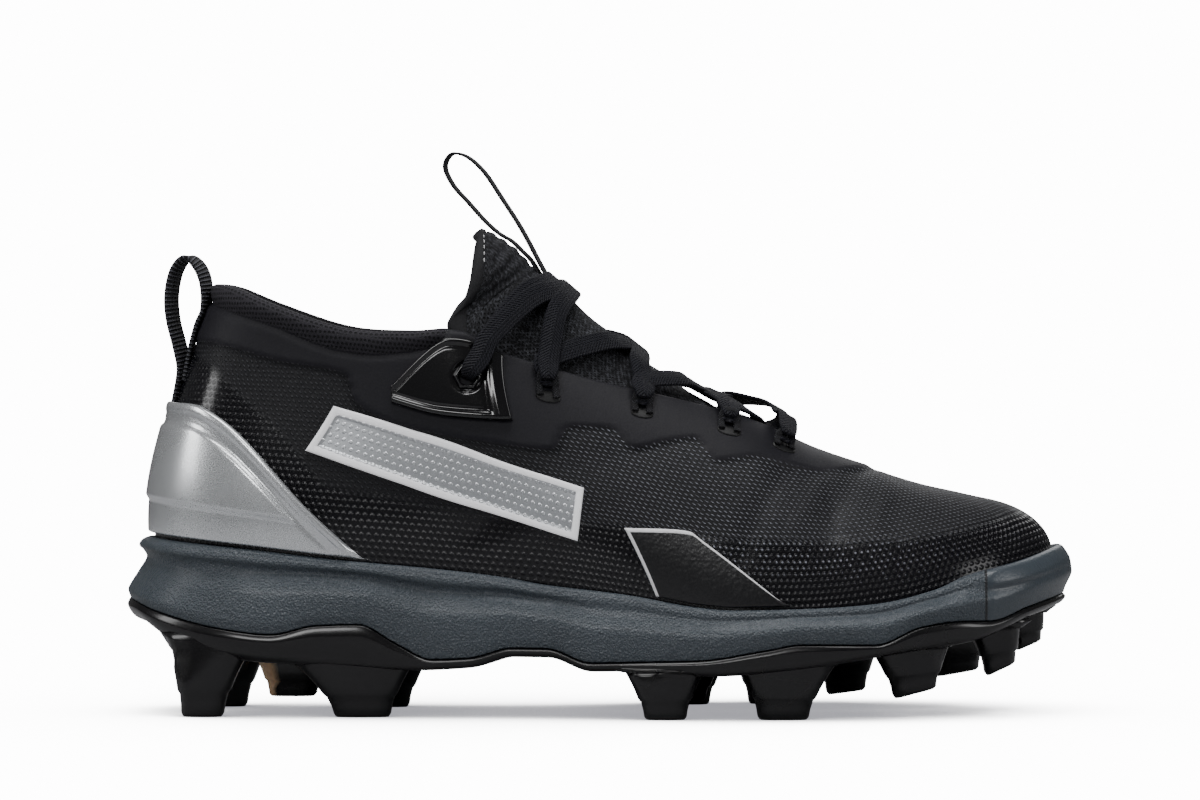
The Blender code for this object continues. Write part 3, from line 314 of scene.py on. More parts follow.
# Side-view edges of the overlays: x of LENGTH, z of COLLAR_HEIGHT.
COUNTER_EDGE = (
    # x, z of the heel counter's upper edge
    (-0.455, 0.727),
    (-0.425, 0.724),
    (-0.397, 0.694),
    (-0.301, 0.476),
    (-0.240, 0.355),
)
LACE_PLATE_LOW = (
    # x, z
    (-0.228, 0.737),
    (-0.165, 0.700),
    (-0.103, 0.687),
)
LACE_PLATE_HIGH = (
    # x, z
    (-0.228, 0.750),
    (-0.150, 0.883),
    (-0.125, 0.878),
    (-0.096, 0.862),
)
SIDE_BAR_LOW = (
    # x, z
    (-0.330, 0.640),
    (0.020, 0.385),
)
SIDE_BAR_HEIGHT = 0.118
FOREFOOT_PATCH_EDGE = (
    # x, z
    (0.037, 0.439),
    (0.083, 0.436),
    (0.102, 0.431),
    (0.112, 0.415),
    (0.200, 0.262),
)

# Where the overlays start and end round the shoe, in rows of SECTIONS from the heel.
COUNTER_FRONT = 3.4
LACE_PLATE_ROWS = (3.75, 5.85)
SIDE_BAR_ROWS = (2.75, 6.35)
SIDE_BAR_SLANT = 0.30
FOREFOOT_PATCH_ROWS = (6.94, 9.2)
FOREFOOT_PATCH_SLANT = -0.22
ABOVE_LIP = 0.016
LEAST_WIDTH = 0.012

# The webbing eyelet loops of each side, from the front plate forward: the section row each sits
# on, its height up the wall and half the way between its legs, in rows.
EYELETS = (
    # row, slit h, top h, half spread, hoop of the tongue, lace stand-off, share of the tongue
    (6.40, 0.845, 0.940, 0.085, 5.60, 0.020, 0.46),
    (7.45, 0.855, 0.940, 0.090, 4.55, 0.020, 0.46),
    (8.60, 0.850, 0.935, 0.110, 3.40, 0.022, 0.40),
    (9.42, 0.840, 0.905, 0.110, 2.20, 0.040, 0.22),
)
PLATE_ANCHOR = (5.08, 0.83)
PLATE_HOOP = 6.75
TOP_BAR_HOOP = 6.60

# The lace's way over the tongue: how many points it has there and how far it stands off.
LACE_CROSSING_POINTS = 5
LACE_OVER_EDGE = 0.0056
LACE_OVER_TONGUE = 0.0012
LACE_LOOSE = 0.0068
LACE_OVER_PLATE = 0.0046
PLATE_EDGE_STEP = 0.48
PLATE_SHARE = 0.46

# The pull loops, side view. The tongue's ribbon: x of LENGTH, z of COLLAR_HEIGHT.
TONGUE_LOOP = (
    # x, z
    (-0.0610, 1.0440), (-0.0823, 1.1326), (-0.1047, 1.2104), (-0.1217, 1.2667),
    (-0.1387, 1.3022), (-0.1540, 1.3126), (-0.1620, 1.2970), (-0.1630, 1.2719),
    (-0.1540, 1.2341), (-0.1387, 1.1963), (-0.1217, 1.1541), (-0.1067, 1.1245),
    (-0.0930, 1.1060), (-0.0823, 1.0830), (-0.0710, 1.0560),
)
# The heel's webbing, from the counter up over the top and down the back of the collar.
HEEL_LOOP = (
    # x of LENGTH, z of COLLAR_HEIGHT
    (-0.4463, 0.7277), (-0.4408, 0.7994), (-0.4440, 0.8489), (-0.4521, 0.9231),
    (-0.4535, 0.9829), (-0.4479, 1.0385), (-0.4367, 1.0660), (-0.4246, 1.0479),
    (-0.4174, 1.0079), (-0.4175, 0.9490), (-0.4255, 0.9100), (-0.4335, 0.8501),
    (-0.4400, 0.7800),
)
HEEL_LOOP_TURN = math.radians(20)


def colour_property(name, default, note):
    """A colour setting with its default."""
    return bpy.props.FloatVectorProperty(name=name, description=note, default=default,
                                         subtype="COLOR", size=3, min=0.0, max=1.0)


def length_property(name, default, note):
    """A length setting in metres."""
    return bpy.props.FloatProperty(name=name, description=note, default=default,
                                   unit="LENGTH", min=0.0, precision=5)


class CleatSizes(bpy.types.PropertyGroup):
    """Sizes of the cleat's pieces."""
    length: length_property("Length", 0.300, "Heel to toe of the sole")
    ball_width: length_property("Ball width", 0.108, "Width of the sole at the ball")
    collar_height: length_property("Collar height", 0.135, "Height of the collar's back")
    sole_height: length_property("Sole height", 0.050, "Height of the sole's upper edge")
    wall: length_property("Wall", 0.0020, "Thickness of the upper")
    collar_pad: length_property("Collar pad", 0.0032, "Padding inside the collar")
    rim_round: length_property("Rim", 0.0012, "How far the rim is rounded up")
    eyestay_step: length_property("Eyestay step", 0.0008, "How far the smooth band stands up")
    gap: length_property("Gap", 0.0003, "Clearance between two pieces")
    lip: length_property("Lip", 0.0024, "Thickness of the midsole's lip")
    crease: length_property("Crease", 0.0009, "Depth of the groove under the lip")
    plate_min: length_property("Plate", 0.0032, "Least thickness of the outsole")
    insole: length_property("Insole", 0.0040, "Thickness of the insole")
    tongue: length_property("Tongue", 0.0042, "Thickness of the tongue")
    tongue_clearance: length_property("Tongue clearance", 0.0007, "Tongue to upper")
    counter: length_property("Counter", 0.0016, "Thickness of the heel counter")
    lace_plate: length_property("Lace plate", 0.0022, "Thickness of the lace plates")
    patch: length_property("Patch", 0.0008, "Thickness of the forefoot patch")
    bar: length_property("Bar", 0.0009, "Thickness of the side bar")
    lace_width: length_property("Lace width", 0.0070, "Width of the flat lace")
    lace_thickness: length_property("Lace thickness", 0.0012, "Thickness of the lace")
    eyelet_hole: length_property("Eyelet hole", 0.0055, "Hole in each lace plate")
    webbing_width: length_property("Eyelet webbing", 0.0022, "Width of an eyelet loop's leg")
    webbing_thickness: length_property("Webbing thickness", 0.0010, "Eyelet webbing thickness")
    ribbon_width: length_property("Ribbon width", 0.0060, "Tongue pull ribbon")
    ribbon_thickness: length_property("Ribbon thickness", 0.0008, "Tongue pull ribbon")
    heel_width: length_property("Heel webbing", 0.0100, "Heel pull loop width")
    heel_thickness: length_property("Heel webbing thickness", 0.0014, "Heel pull loop")


class CleatColours(bpy.types.PropertyGroup):
    """Colours of the cleat's pieces."""
    mesh: colour_property("Mesh", (0.0050, 0.0052, 0.0070), "Woven upper")
    # The fleck colour is also the colour of the painted glints, painted highlights, on the upper's
    # film.
    fleck: colour_property("Fleck", (0.30, 0.31, 0.36), "Light threads of the weave")
    film: colour_property("Film", (0.0026, 0.0025, 0.0042), "Glossy film low on the upper")
    eyestay: colour_property("Eyestay", (0.0080, 0.0076, 0.0115), "Smooth band")
    lining: colour_property("Lining", (0.008, 0.008, 0.010), "Inside of the upper")
    roll: colour_property("Collar roll", (0.040, 0.037, 0.046), "Weave of the padded collar")
    counter: colour_property("Counter", (0.78, 0.80, 0.82), "Heel counter")
    midsole: colour_property("Midsole", (0.047, 0.061, 0.075), "Midsole")
    outsole: colour_property("Outsole", (0.0022, 0.0020, 0.0028), "Outsole and lugs")
    plate: colour_property("Lace plate", (0.0040, 0.0040, 0.0048), "Lace plates")
    bar: colour_property("Side bar", (0.62, 0.64, 0.67), "Side bar")
    white: colour_property("White edge", (0.93, 0.93, 0.95), "White edges and stitches")
    patch: colour_property("Patch", (0.0032, 0.0032, 0.0046), "Forefoot patch")
    lace: colour_property("Lace", (0.0040, 0.0040, 0.0070), "Lace")
    ribbon: colour_property("Ribbon", (0.006, 0.006, 0.008), "Pull loops")
    insole: colour_property("Insole", (0.014, 0.014, 0.017), "Insole")
    floor: colour_property("Floor", (0.34, 0.34, 0.35), "Studio floor")


def sizes():
    """The sizes set on the scene."""
    return bpy.context.scene.cleat_sizes


def colours():
    """The colours set on the scene."""
    return bpy.context.scene.cleat_colours


def spline(values, places, at):
    """Smooth curve through the values at rising places, with slopes that never overshoot."""
    places = np.asarray(places, float)
    values = np.asarray(values, float)
    steps = np.diff(places)
    rises = np.diff(values) / steps
    slopes = np.zeros_like(values)
    slopes[0] = rises[0]
    slopes[-1] = rises[-1]
    for i in range(1, len(values) - 1):
        if rises[i - 1] * rises[i] > 0:
            slopes[i] = 2 * rises[i - 1] * rises[i] / (rises[i - 1] + rises[i])
    at = np.clip(at, places[0], places[-1])
    i = np.clip(np.searchsorted(places, at) - 1, 0, len(steps) - 1)
    t = (at - places[i]) / steps[i]
    start = values[i] * (1 + 2 * t) * (1 - t) ** 2 + slopes[i] * steps[i] * t * (1 - t) ** 2
    end = values[i + 1] * t * t * (3 - 2 * t) - slopes[i + 1] * steps[i] * t * t * (1 - t)
    return start + end


def edge_height(edge, size, x):
    """Height of a side-view edge at x, in metres."""
    table = np.array(edge)
    return spline(table[:, 1], table[:, 0], x / sizes().length) * size


def unit(vectors):
    """The same directions, one long."""
    length = np.linalg.norm(vectors, axis=-1, keepdims=True)
    return vectors / np.maximum(length, TINY)


def walked(path):
    """How far along a path each of its points is."""
    steps = np.linalg.norm(np.diff(path, axis=0), axis=1)
    return np.concatenate(([0.0], np.cumsum(steps)))


def through(a, b, d, e, t):
    """A place on the smooth curve from b to d, where a comes before them and e after."""
    return 0.5 * (2 * b + (d - a) * t + (2 * a - 5 * b + 4 * d - e) * t * t
                  + (3 * b - a - 3 * d + e) * t ** 3)


def smooth_path(points, count):
    """A smooth curve through points, or rows of points, with count steps between them."""
    points = np.asarray(points, float)
    last = len(points) - 1
    rows = []
    for i in range(last):
        around = (points[max(i - 1, 0)], points[i], points[i + 1], points[min(i + 2, last)])
        rows += [through(*around, k / count) for k in range(count)]
    rows.append(points[-1])
    return np.array(rows)


def on_side(c, side):
    """A ring place of the lateral side, carried over to the medial side if side is 1."""
    return c if side < 0 else RING - c


def ring_table():
    """The sections once round the shoe: heel, lateral side, toe, medial side."""
    s = sizes()
    scale = np.array((s.length, s.ball_width, s.sole_height, s.length, s.ball_width,
                      s.collar_height) + (s.ball_width,) * 4)
    rows = []
    for step in range(RING):
        row = SECTIONS[min(step, RING - step)]
        side = 1 if step <= ROWS else 2
        picked = (row[0], row[side], row[3], row[4], row[side + 4], row[7]) + row[8:]
        rows.append(np.array(picked) * scale)
    return np.array(rows)


def ring_rows(c):
    """The sections at any places c round the ring."""
    table = ring_table()
    i = np.floor(c).astype(int)
    t = (c - i)[:, None]
    return through(*(table[(i + k) % RING] for k in (-1, 0, 1, 2)), t)


def outward(c):
    """Level directions away from the foot at ring places c."""
    c = np.atleast_1d(np.asarray(c, float))
    ahead = ring_rows(c + 0.05)[:, :2] - ring_rows(c - 0.05)[:, :2]
    return unit(np.stack((ahead[:, 1], -ahead[:, 0], np.zeros(len(c))), axis=1))


def raw_wall(c, h):
    """Points on the upper's outer face, with no offset."""
    row = ring_rows(c)
    out = outward(c)
    foot = row[:, 0:3]
    around = c % RING
    over = (around >= THROAT_END) & (around <= RING - THROAT_END)
    twin = ring_rows((RING - around) % RING)[:, 3:6]
    top = np.where(over[:, None], (row[:, 3:6] + twin) / 2, row[:, 3:6])
    low = foot + out * row[:, 6:7] + UP * row[:, 7:8]
    high = top + out * row[:, 8:9] - UP * row[:, 9:10]
    h = h[:, None]
    return (foot * (1 - h) ** 3 + low * 3 * h * (1 - h) ** 2
            + high * 3 * h * h * (1 - h) + top * h ** 3)


def wall_normal(c, h):
    """Outward normals of the upper's outer face, shared along the ridge over the toes."""
    step = 0.01
    inner = np.clip(h, step, 1 - step)
    along = raw_wall(c + step, inner) - raw_wall(c - step, inner)
    rise = raw_wall(c, inner + step) - raw_wall(c, inner - step)
    normal = np.cross(rise, along)
    length = np.linalg.norm(normal, axis=1, keepdims=True)
    out = outward(c)
    normal = np.where(length > 1e-12, normal / np.maximum(length, 1e-12), out)
    facing = np.sum(normal * out, axis=1) + normal[:, 2]
    return np.where(facing[:, None] > 0, normal, -normal)


def wall(c, h, offset=0.0):
    """Points on the upper's outer face at places c and heights h, moved out by an offset."""
    c, h, offset = (np.atleast_1d(np.asarray(value, float)) for value in (c, h, offset))
    c, h, offset = np.broadcast_arrays(c, h, offset)
    points = raw_wall(c, h)
    if not np.any(offset):
        return points
    normal = wall_normal(c, h)
    around = c % RING
    ridge = (h > 0.999) & (around >= THROAT_END) & (around <= RING - THROAT_END)
    if np.any(ridge):
        twin = wall_normal((RING - around[ridge]) % RING, h[ridge])
        normal[ridge] = unit(normal[ridge] + twin)
    return points + normal * offset[:, None]


def height_at_edge(c, edge, size, low=0.0):
    """The h where the wall at each c crosses a side-view edge, found by halving."""
    c = np.atleast_1d(np.asarray(c, float))
    low = np.full(len(c), float(low))
    high = np.ones(len(c))
    for _ in range(22):
        middle = (low + high) / 2
        point = raw_wall(c, middle)
        above = point[:, 2] > edge_height(edge, size, point[:, 0])
        high = np.where(above, middle, high)
        low = np.where(above, low, middle)
    return (low + high) / 2


def lip_height(c):
    """Where the midsole's lip ends on the wall."""
    return height_at_edge(c, LIP_EDGE, sizes().sole_height)


def from_heel(c):
    """Rows between ring places and the heel centre, the same on both sides."""
    around = np.asarray(c, float) % RING
    return np.minimum(around, RING - around)


def ease(value):
    """0 below 0, 1 above 1 and a soft step between."""
    value = np.clip(value, 0.0, 1.0)
    return value * value * (3 - 2 * value)


def ease_between(value, low, high):
    """0 below low, 1 above high and a soft step between."""
    return ease((value - low) / (high - low))


def wall_thickness(c, h):
    """The plain wall, thicker where the collar is padded."""
    s = sizes()
    pad = ease((h - 0.72) / 0.2) * ease((COLLAR_FRONT + 0.6 - from_heel(c)) / 1.4)
    return s.wall + s.collar_pad * pad


def linked(name, data):
    """A new object in the scene."""
    thing = bpy.data.objects.new(name, data)
    bpy.context.scene.collection.objects.link(thing)
    return thing


def finished(name, bm, slot, material, *nodes):
    """Link a piece, give it its finish and body, and hide the frame's nodes that it stands for."""
    mesh = bpy.data.meshes.new(name)
    bm.to_mesh(mesh)
    bm.free()
    mesh.materials.append(material)
    mesh.shade_smooth()
    piece = linked(name, mesh)
    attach(piece, "root")
    if nodes:
        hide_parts(*nodes)
    return piece


def sheet_mesh(points, uv=None, attributes=None, ring=False, flip=False):
    """A mesh from a grid of points (rows, columns, 3), with its own UV map and attributes."""
    rows, columns = points.shape[:2]
    bm = bmesh.new()
    if ring:
        points = np.concatenate((points, points[:, :1]), axis=1)
        columns += 1
    bmesh.ops.create_grid(bm, x_segments=columns - 1, y_segments=rows - 1, size=1.0)
    bm.verts.ensure_lookup_table()
    flat = np.array([vert.co for vert in bm.verts])
    column_of = np.rint((flat[:, 0] + 1) / 2 * (columns - 1)).astype(int)
    row_of = np.rint((flat[:, 1] + 1) / 2 * (rows - 1)).astype(int)
    placed = points[row_of, column_of]
    for vert, point in zip(bm.verts, placed):
        vert.co = point
    if attributes:
        for name, values in attributes.items():
            if ring:
                values = np.concatenate((values, values[:, :1]), axis=1)
            layer = bm.verts.layers.float.new(name)
            for vert, value in zip(bm.verts, values[row_of, column_of]):
                vert[layer] = value
    if uv is not None:
        layer = bm.loops.layers.uv.new("cloth")
        picked = uv[row_of, column_of]
        bm.verts.index_update()
        for face in bm.faces:
            for loop in face.loops:
                loop[layer].uv = picked[loop.vert.index]
    if flip:
        bmesh.ops.reverse_faces(bm, faces=bm.faces)
    if ring:
        bmesh.ops.remove_doubles(bm, verts=bm.verts, dist=RING_WELD)
    return bm


def metric_uv(points, closed=False):
    """UV in metres along the columns and up the rows of a grid of points."""
    across = np.linalg.norm(np.diff(points, axis=1), axis=2)
    up = np.linalg.norm(np.diff(points, axis=0), axis=2)
    u = np.concatenate((np.zeros((len(points), 1)), np.cumsum(across, axis=1)), axis=1)
    v = np.concatenate((np.zeros((1, points.shape[1])), np.cumsum(up, axis=0)), axis=0)
    u = np.broadcast_to(u[len(points) // 2], u.shape)
    uv = np.stack((u, v), axis=2)
    if closed:
        last = uv[:, -1:] + (uv[:, -1:] - uv[:, -2:-1])
        uv = np.concatenate((uv, last), axis=1)
    return uv


def joined(*bms):
    """One bmesh out of several."""
    first = bms[0]
    for other in bms[1:]:
        mesh = bpy.data.meshes.new("join")
        other.to_mesh(mesh)
        other.free()
        first.from_mesh(mesh)
        bpy.data.meshes.remove(mesh)
    return first


def welded(bm, distance=WELD, verts=None):
    """Make one of the points that nearly meet, and turn all faces outward."""
    bmesh.ops.remove_doubles(bm, verts=verts or bm.verts, dist=distance)
    bmesh.ops.recalc_face_normals(bm, faces=bm.faces)
    return bm


def midline(line):
    """Half way from each point of a ring to its twin on the shoe's other side."""
    return (line + line[(-np.arange(len(line))) % len(line)]) / 2


def floored(bm, line):
    """Join on a flat cover, from a ring of points in to the shoe's middle line."""
    return joined(bm, sheet_mesh(np.array([line, midline(line)]), ring=True))


class Value:
    """A shader socket that takes part in arithmetic."""

    def __init__(self, tree, socket):
        self.tree = tree
        self.socket = socket

    def math(self, operation, *others):
        """A Math node on this value and up to two more."""
        node = self.tree.nodes.new("ShaderNodeMath")
        node.operation = operation
        for place, value in enumerate((self, *others)):
            plug(self.tree, node.inputs[place], value)
        return Value(self.tree, node.outputs[0])

    def __add__(self, other):
        return self.math("ADD", other)

    def __sub__(self, other):
        return self.math("SUBTRACT", other)

    def __mul__(self, other):
        return self.math("MULTIPLY", other)

    def __truediv__(self, other):
        return self.math("DIVIDE", other)

    def __neg__(self):
        return self.math("MULTIPLY", -1.0)

    def __rsub__(self, other):
        return -self + other

    def __rtruediv__(self, other):
        return self.math("POWER", -1.0) * other

    __radd__ = __add__
    __rmul__ = __mul__

    def rest(self):
        """What is left of 1."""
        return self * -1.0 + 1.0

    def fading(self, low, high):
        """1 at low, 0 at high, with a smooth step between."""
        return self.between(low, high).rest()

    def between(self, low, high):
        """0 at low, 1 at high, with a smooth step between."""
        node = self.tree.nodes.new("ShaderNodeMapRange")
        node.interpolation_type = "SMOOTHSTEP"
        plug(self.tree, node.inputs["Value"], self)
        node.inputs["From Min"].default_value = low
        node.inputs["From Max"].default_value = high
        return Value(self.tree, node.outputs["Result"])


def plug(tree, socket, value):
    """Link a shader value to a socket, or set a plain number or colour on it."""
    if isinstance(value, Value):
        tree.links.new(value.socket, socket)
    elif hasattr(socket.default_value, "__len__") and len(socket.default_value) == 4:
        socket.default_value = (*value, 1.0) if len(value) == 3 else value
    else:
        socket.default_value = value


class Finish:
    """A Principled material and the few nodes that vary it."""

    def __init__(self, name, colour, roughness, metallic=0.0, coat=0.0, coat_roughness=0.1,
                 specular=0.5):
        self.material = bpy.data.materials.new(name)
        self.material.use_nodes = True
        self.tree = self.material.node_tree
        self.bsdf = next(n for n in self.tree.nodes if n.type == "BSDF_PRINCIPLED")
        self.set("Base Color", colour)
        self.set("Roughness", roughness)
        self.set("Metallic", metallic)
        self.set("Coat Weight", coat)
        self.set("Coat Roughness", coat_roughness)
        self.set("Specular IOR Level", specular)

    def set(self, socket, value):
        """Feed or set one of the Principled inputs."""
        plug(self.tree, self.bsdf.inputs[socket], value)

    def node(self, kind, settings=None, inputs=None, output=0):
        """Add any node with its settings and inputs, and give one of its outputs."""
        node = self.tree.nodes.new(kind)
        for name, value in (settings or {}).items():
            setattr(node, name, value)
        for name, value in (inputs or {}).items():
            plug(self.tree, node.inputs[name], value)
        return Value(self.tree, node.outputs[output])

    def place(self):
        """Object coordinates in metres."""
        return self.node("ShaderNodeTexCoord", output="Object")

    def cloth(self):
        """The piece's own UV map, in metres."""
        return self.node("ShaderNodeUVMap", {"uv_map": "cloth"})

    def attribute(self, name):
        """A number kept on the piece's points."""
        return self.node("ShaderNodeAttribute", {"attribute_name": name}, output="Fac")

    def parts(self, vector):
        """x, y and z of a vector."""
        node = self.node("ShaderNodeSeparateXYZ", None, {0: vector}).socket.node
        return [Value(self.tree, output) for output in node.outputs]

    def noise(self, vector, scale, detail=3.0, roughness=0.5):
        """Soft noise, about 0.5."""
        return self.node("ShaderNodeTexNoise", None,
                         {"Vector": vector, "Scale": scale, "Detail": detail,
                          "Roughness": roughness})

    def cells(self, vector, scale, feature="F1", randomness=1.0):
        """Distance to scattered points."""
        return self.node("ShaderNodeTexVoronoi", {"feature": feature},
                         {"Vector": vector, "Scale": scale, "Randomness": randomness},
                         "Distance")

    def mix(self, share, first, second):
        """Colour between two, by a share."""
        return self.node("ShaderNodeMix", {"data_type": "RGBA"},
                         {"Factor": share, 6: first, 7: second}, 2)

    def bump(self, height, distance, strength=1.0, under=None):
        """Bump from a height in units of the distance, in metres."""
        inputs = {"Height": height, "Distance": distance, "Strength": strength}
        if under is not None:
            inputs["Normal"] = under
        return self.node("ShaderNodeBump", None, inputs)

    def dashes(self, u, v, wide, tall, slant):
        """0 in the middle of a slanted dash in each cell of a brick lattice, growing outward."""
        du, dv = self.in_cell(u, v, wide, tall)
        du = du * wide
        dv = dv * tall
        along = (du * math.cos(slant) + dv * math.sin(slant)) * (2.4 / wide)
        over = (dv * math.cos(slant) - du * math.sin(slant)) * (5.2 / tall)
        return (along * along + over * over).math("SQRT")

    def in_cell(self, u, v, wide, tall):
        """Place in a cell of a brick lattice, each way -0.5 to 0.5 from its middle."""
        down = v / tall
        row = down.math("FLOOR")
        across = u / wide + row.math("MODULO", 2.0) * 0.5
        return across.math("FRACT") - 0.5, down.math("FRACT") - 0.5

    def grid(self, u, v, pitch):
        """Distance from the middle of a cell of a brick lattice, in cells."""
        du, dv = self.in_cell(u, v, pitch, pitch)
        return (du * du + dv * dv).math("SQRT")

    def wave(self, along, pitch):
        """A sine of the given length along a value in metres, -1 to 1."""
        return (along * (2 * math.pi / pitch)).math("SINE")


def weave_finish(name, colour, pitch, fleck, roughness=0.75, depth=0.00018, plain=0.35):
    """Flat woven cloth: crossing threads in UV metres, lighter where a thread stands up."""
    finish = Finish(name, colour, roughness, specular=0.35)
    u, v, _ = finish.parts(finish.cloth())
    warp = finish.wave(u, pitch)
    weft = finish.wave(v, pitch)
    over = warp * weft
    thread = warp.math("ABSOLUTE") * 0.5 + weft.math("ABSOLUTE") * 0.5
    grain = finish.noise(finish.place(), 900.0, 2.0)
    share = over.between(0.1, 1.0) * grain.between(0.35, 0.75)
    finish.set("Base Color", finish.mix(share * plain, colour, fleck))
    finish.set("Normal", finish.bump(over * 0.5 + thread + grain * 0.5, depth))
    return finish


def leather_finish(name, colour, roughness, scale, depth=0.00025, coat=0.0):
    """Fine pebbled grain."""
    finish = Finish(name, colour, roughness, coat=coat, coat_roughness=0.25)
    place = finish.place()
    pebble = finish.cells(place, scale)
    soft = finish.noise(place, scale * 0.6, 4.0, 0.6)
    finish.set("Normal", finish.bump(pebble * 0.8 + soft, depth, 0.5))
    return finish, soft


def rounded(distance, radius):
    """A quarter-round profile: 0 at the edge, 1 a radius away from it."""
    t = np.clip(distance / radius, 0.0, 1.0)
    return np.sqrt(np.maximum(1 - (1 - t) ** 2, 0.0))
# Soft creases where the upper flexes: ring row and h of both ends, width and depth in mm.
CREASES = (
    # row, h, row, h, width, depth
    (8.3, 0.30, 9.8, 0.86, 7.0, -0.7),
    (9.1, 0.34, 10.3, 0.84, 6.0, 0.5),
    (9.7, 0.40, 10.9, 0.96, 6.0, -0.6),
    (10.6, 0.48, 11.3, 0.98, 6.0, 0.4),
    (4.4, 0.20, 6.2, 0.52, 12.0, -0.8),
    (2.9, 0.62, 4.3, 0.74, 9.0, -0.6),
    (3.6, 0.80, 5.0, 0.66, 8.0, 0.5),
    (6.2, 0.52, 7.6, 0.70, 10.0, -0.5),
)
# About how long one ring row and the whole of h are where the creases lie, in metres.
CREASE_ROW = 0.021
CREASE_RISE = 0.075

# Side-view lines on the upper: x of LENGTH, z of COLLAR_HEIGHT.
SEAM_EDGE = (
    (-0.415, 0.965), (-0.390, 0.943), (-0.339, 0.906), (-0.296, 0.867), (-0.274, 0.852),
    (-0.240, 0.842), (-0.207, 0.847), (-0.174, 0.862), (-0.150, 0.930), (-0.140, 1.000),
)
FILM_EDGE = (
    (-0.430, 0.860), (-0.375, 0.752), (-0.338, 0.680), (-0.312, 0.606), (-0.290, 0.553),
    (-0.256, 0.530), (-0.216, 0.516), (-0.163, 0.495), (-0.060, 0.470), (0.051, 0.449),
    (0.095, 0.430), (0.134, 0.426), (0.228, 0.419), (0.290, 0.419), (0.347, 0.430),
    (0.385, 0.444), (0.422, 0.465), (0.443, 0.479), (0.470, 0.500),
)
UPPER_COLUMNS = 448
UPPER_ROWS = 84
LINING_ROWS = 26
RIM_TURNS = 9
RIM_RISE = 0.0022

# The collar's padded roll stands up past its seam, which lies in a groove, in metres.
BAND_SLOPE = 0.0012
ROLL_SLOPE = 0.004
ROLL_RISE = 0.0012
GROOVE_WIDTH = 0.0011
GROOVE_DEPTH = 0.0009

# The insole's edge from its foot up: share of its thickness, share of the way to the middle.
INSOLE_EDGE = ((0.0, 0.0), (0.6, 0.0), (0.9, 0.02), (1.0, 0.05))
INSOLE_COLUMNS = 224


def crease_offset(c, h):
    """Soft troughs and ridges across the flexing parts, in metres out."""
    row = from_heel(c)
    total = np.zeros(np.broadcast(c, h).shape)
    for row_a, h_a, row_b, h_b, width, depth in CREASES:
        a = np.array((row_a * CREASE_ROW, h_a * CREASE_RISE))
        along = np.array((row_b * CREASE_ROW, h_b * CREASE_RISE)) - a
        u = row * CREASE_ROW - a[0]
        v = h * CREASE_RISE - a[1]
        t = np.clip((u * along[0] + v * along[1]) / (along @ along), 0.0, 1.0)
        du = u - along[0] * t
        dv = v - along[1] * t
        fade = np.sin(np.pi * np.clip(t, 0.03, 0.97)) ** 0.6
        total = total + depth * MM * fade * np.exp(-(du ** 2 + dv ** 2) / (width * MM / 2) ** 2)
    return total


def wall_grid(c, h, offset=0.0):
    """wall() on a whole grid of places."""
    c, h, offset = np.broadcast_arrays(c, h, offset)
    flat = wall(c.ravel(), h.ravel(), offset.ravel() + TINY)
    return flat.reshape(c.shape + (3,))


def upper_skin(c):
    """The outer face with its band and collar roll raised, and the marks kept on its points."""
    s = sizes()
    cc, hh = np.broadcast_arrays(c, np.linspace(0.0, 1.0, UPPER_ROWS)[:, None])
    bare = raw_wall(cc.ravel(), hh.ravel()).reshape(cc.shape + (3,))
    band, seam, film = (bare[..., 2] - edge_height(edge, s.collar_height, bare[..., 0])
                        for edge in (BAND_EDGE, SEAM_EDGE, FILM_EDGE))
    rows = from_heel(cc)
    on_band = ease(band / BAND_SLOPE + 0.5)
    roll = ease(seam / ROLL_SLOPE) * ease((COLLAR_FRONT + 0.4 - rows) / 0.5)
    groove = np.exp(-(seam / GROOVE_WIDTH) ** 2) * ease((COLLAR_FRONT + 0.5 - rows) / 0.4)
    creases = crease_offset(cc, hh) * ease((hh - 0.10) / 0.15) * (1 - on_band)
    outer = wall_grid(cc, hh, s.eyestay_step * on_band + roll * ROLL_RISE
                      - groove * GROOVE_DEPTH + creases)
    return outer, {"band": band, "seam": seam, "film": film, "rows": rows,
                   "inside": np.zeros(cc.shape)}


def upper_rim(c, outer, inner, seam):
    """The padded edge round collar and throat, from the outer face over to the lining."""
    open_steps = round(THROAT_END * UPPER_COLUMNS / RING)
    around = np.r_[UPPER_COLUMNS - open_steps:UPPER_COLUMNS, 0:open_steps + 1]
    top_out = outer[-1, around]
    top_in = inner[-1, around]
    ring_c = c[around]
    along = unit(wall(ring_c, 1.0) - wall(ring_c, 0.97))
    ends = ease((from_heel(ring_c) - THROAT_END + 0.35) / 0.35)[:, None]
    along = along * (1 - ends) + np.array((-1.0, 0.0, 0.0)) * ends
    rise = np.minimum(np.linalg.norm(top_in - top_out, axis=1)[:, None] * 0.5, RIM_RISE)
    turns = np.linspace(0.0, np.pi, RIM_TURNS)[:, None, None]
    share = (1 - np.cos(turns)) / 2
    arc = top_out * (1 - share) + top_in * share + along * rise * np.sin(turns)
    shape = arc.shape[:2]
    past_top = np.broadcast_to(np.linspace(0.0, 1.0, RIM_TURNS)[:, None], shape)
    marks = {"band": np.full(shape, 0.01), "film": np.ones(shape),
             "seam": np.broadcast_to(seam[-1, around], shape),
             "rows": np.broadcast_to(from_heel(ring_c), shape),
             "inside": (past_top > 0.6) * 1.0}
    return sheet_mesh(arc, metric_uv(arc), marks)


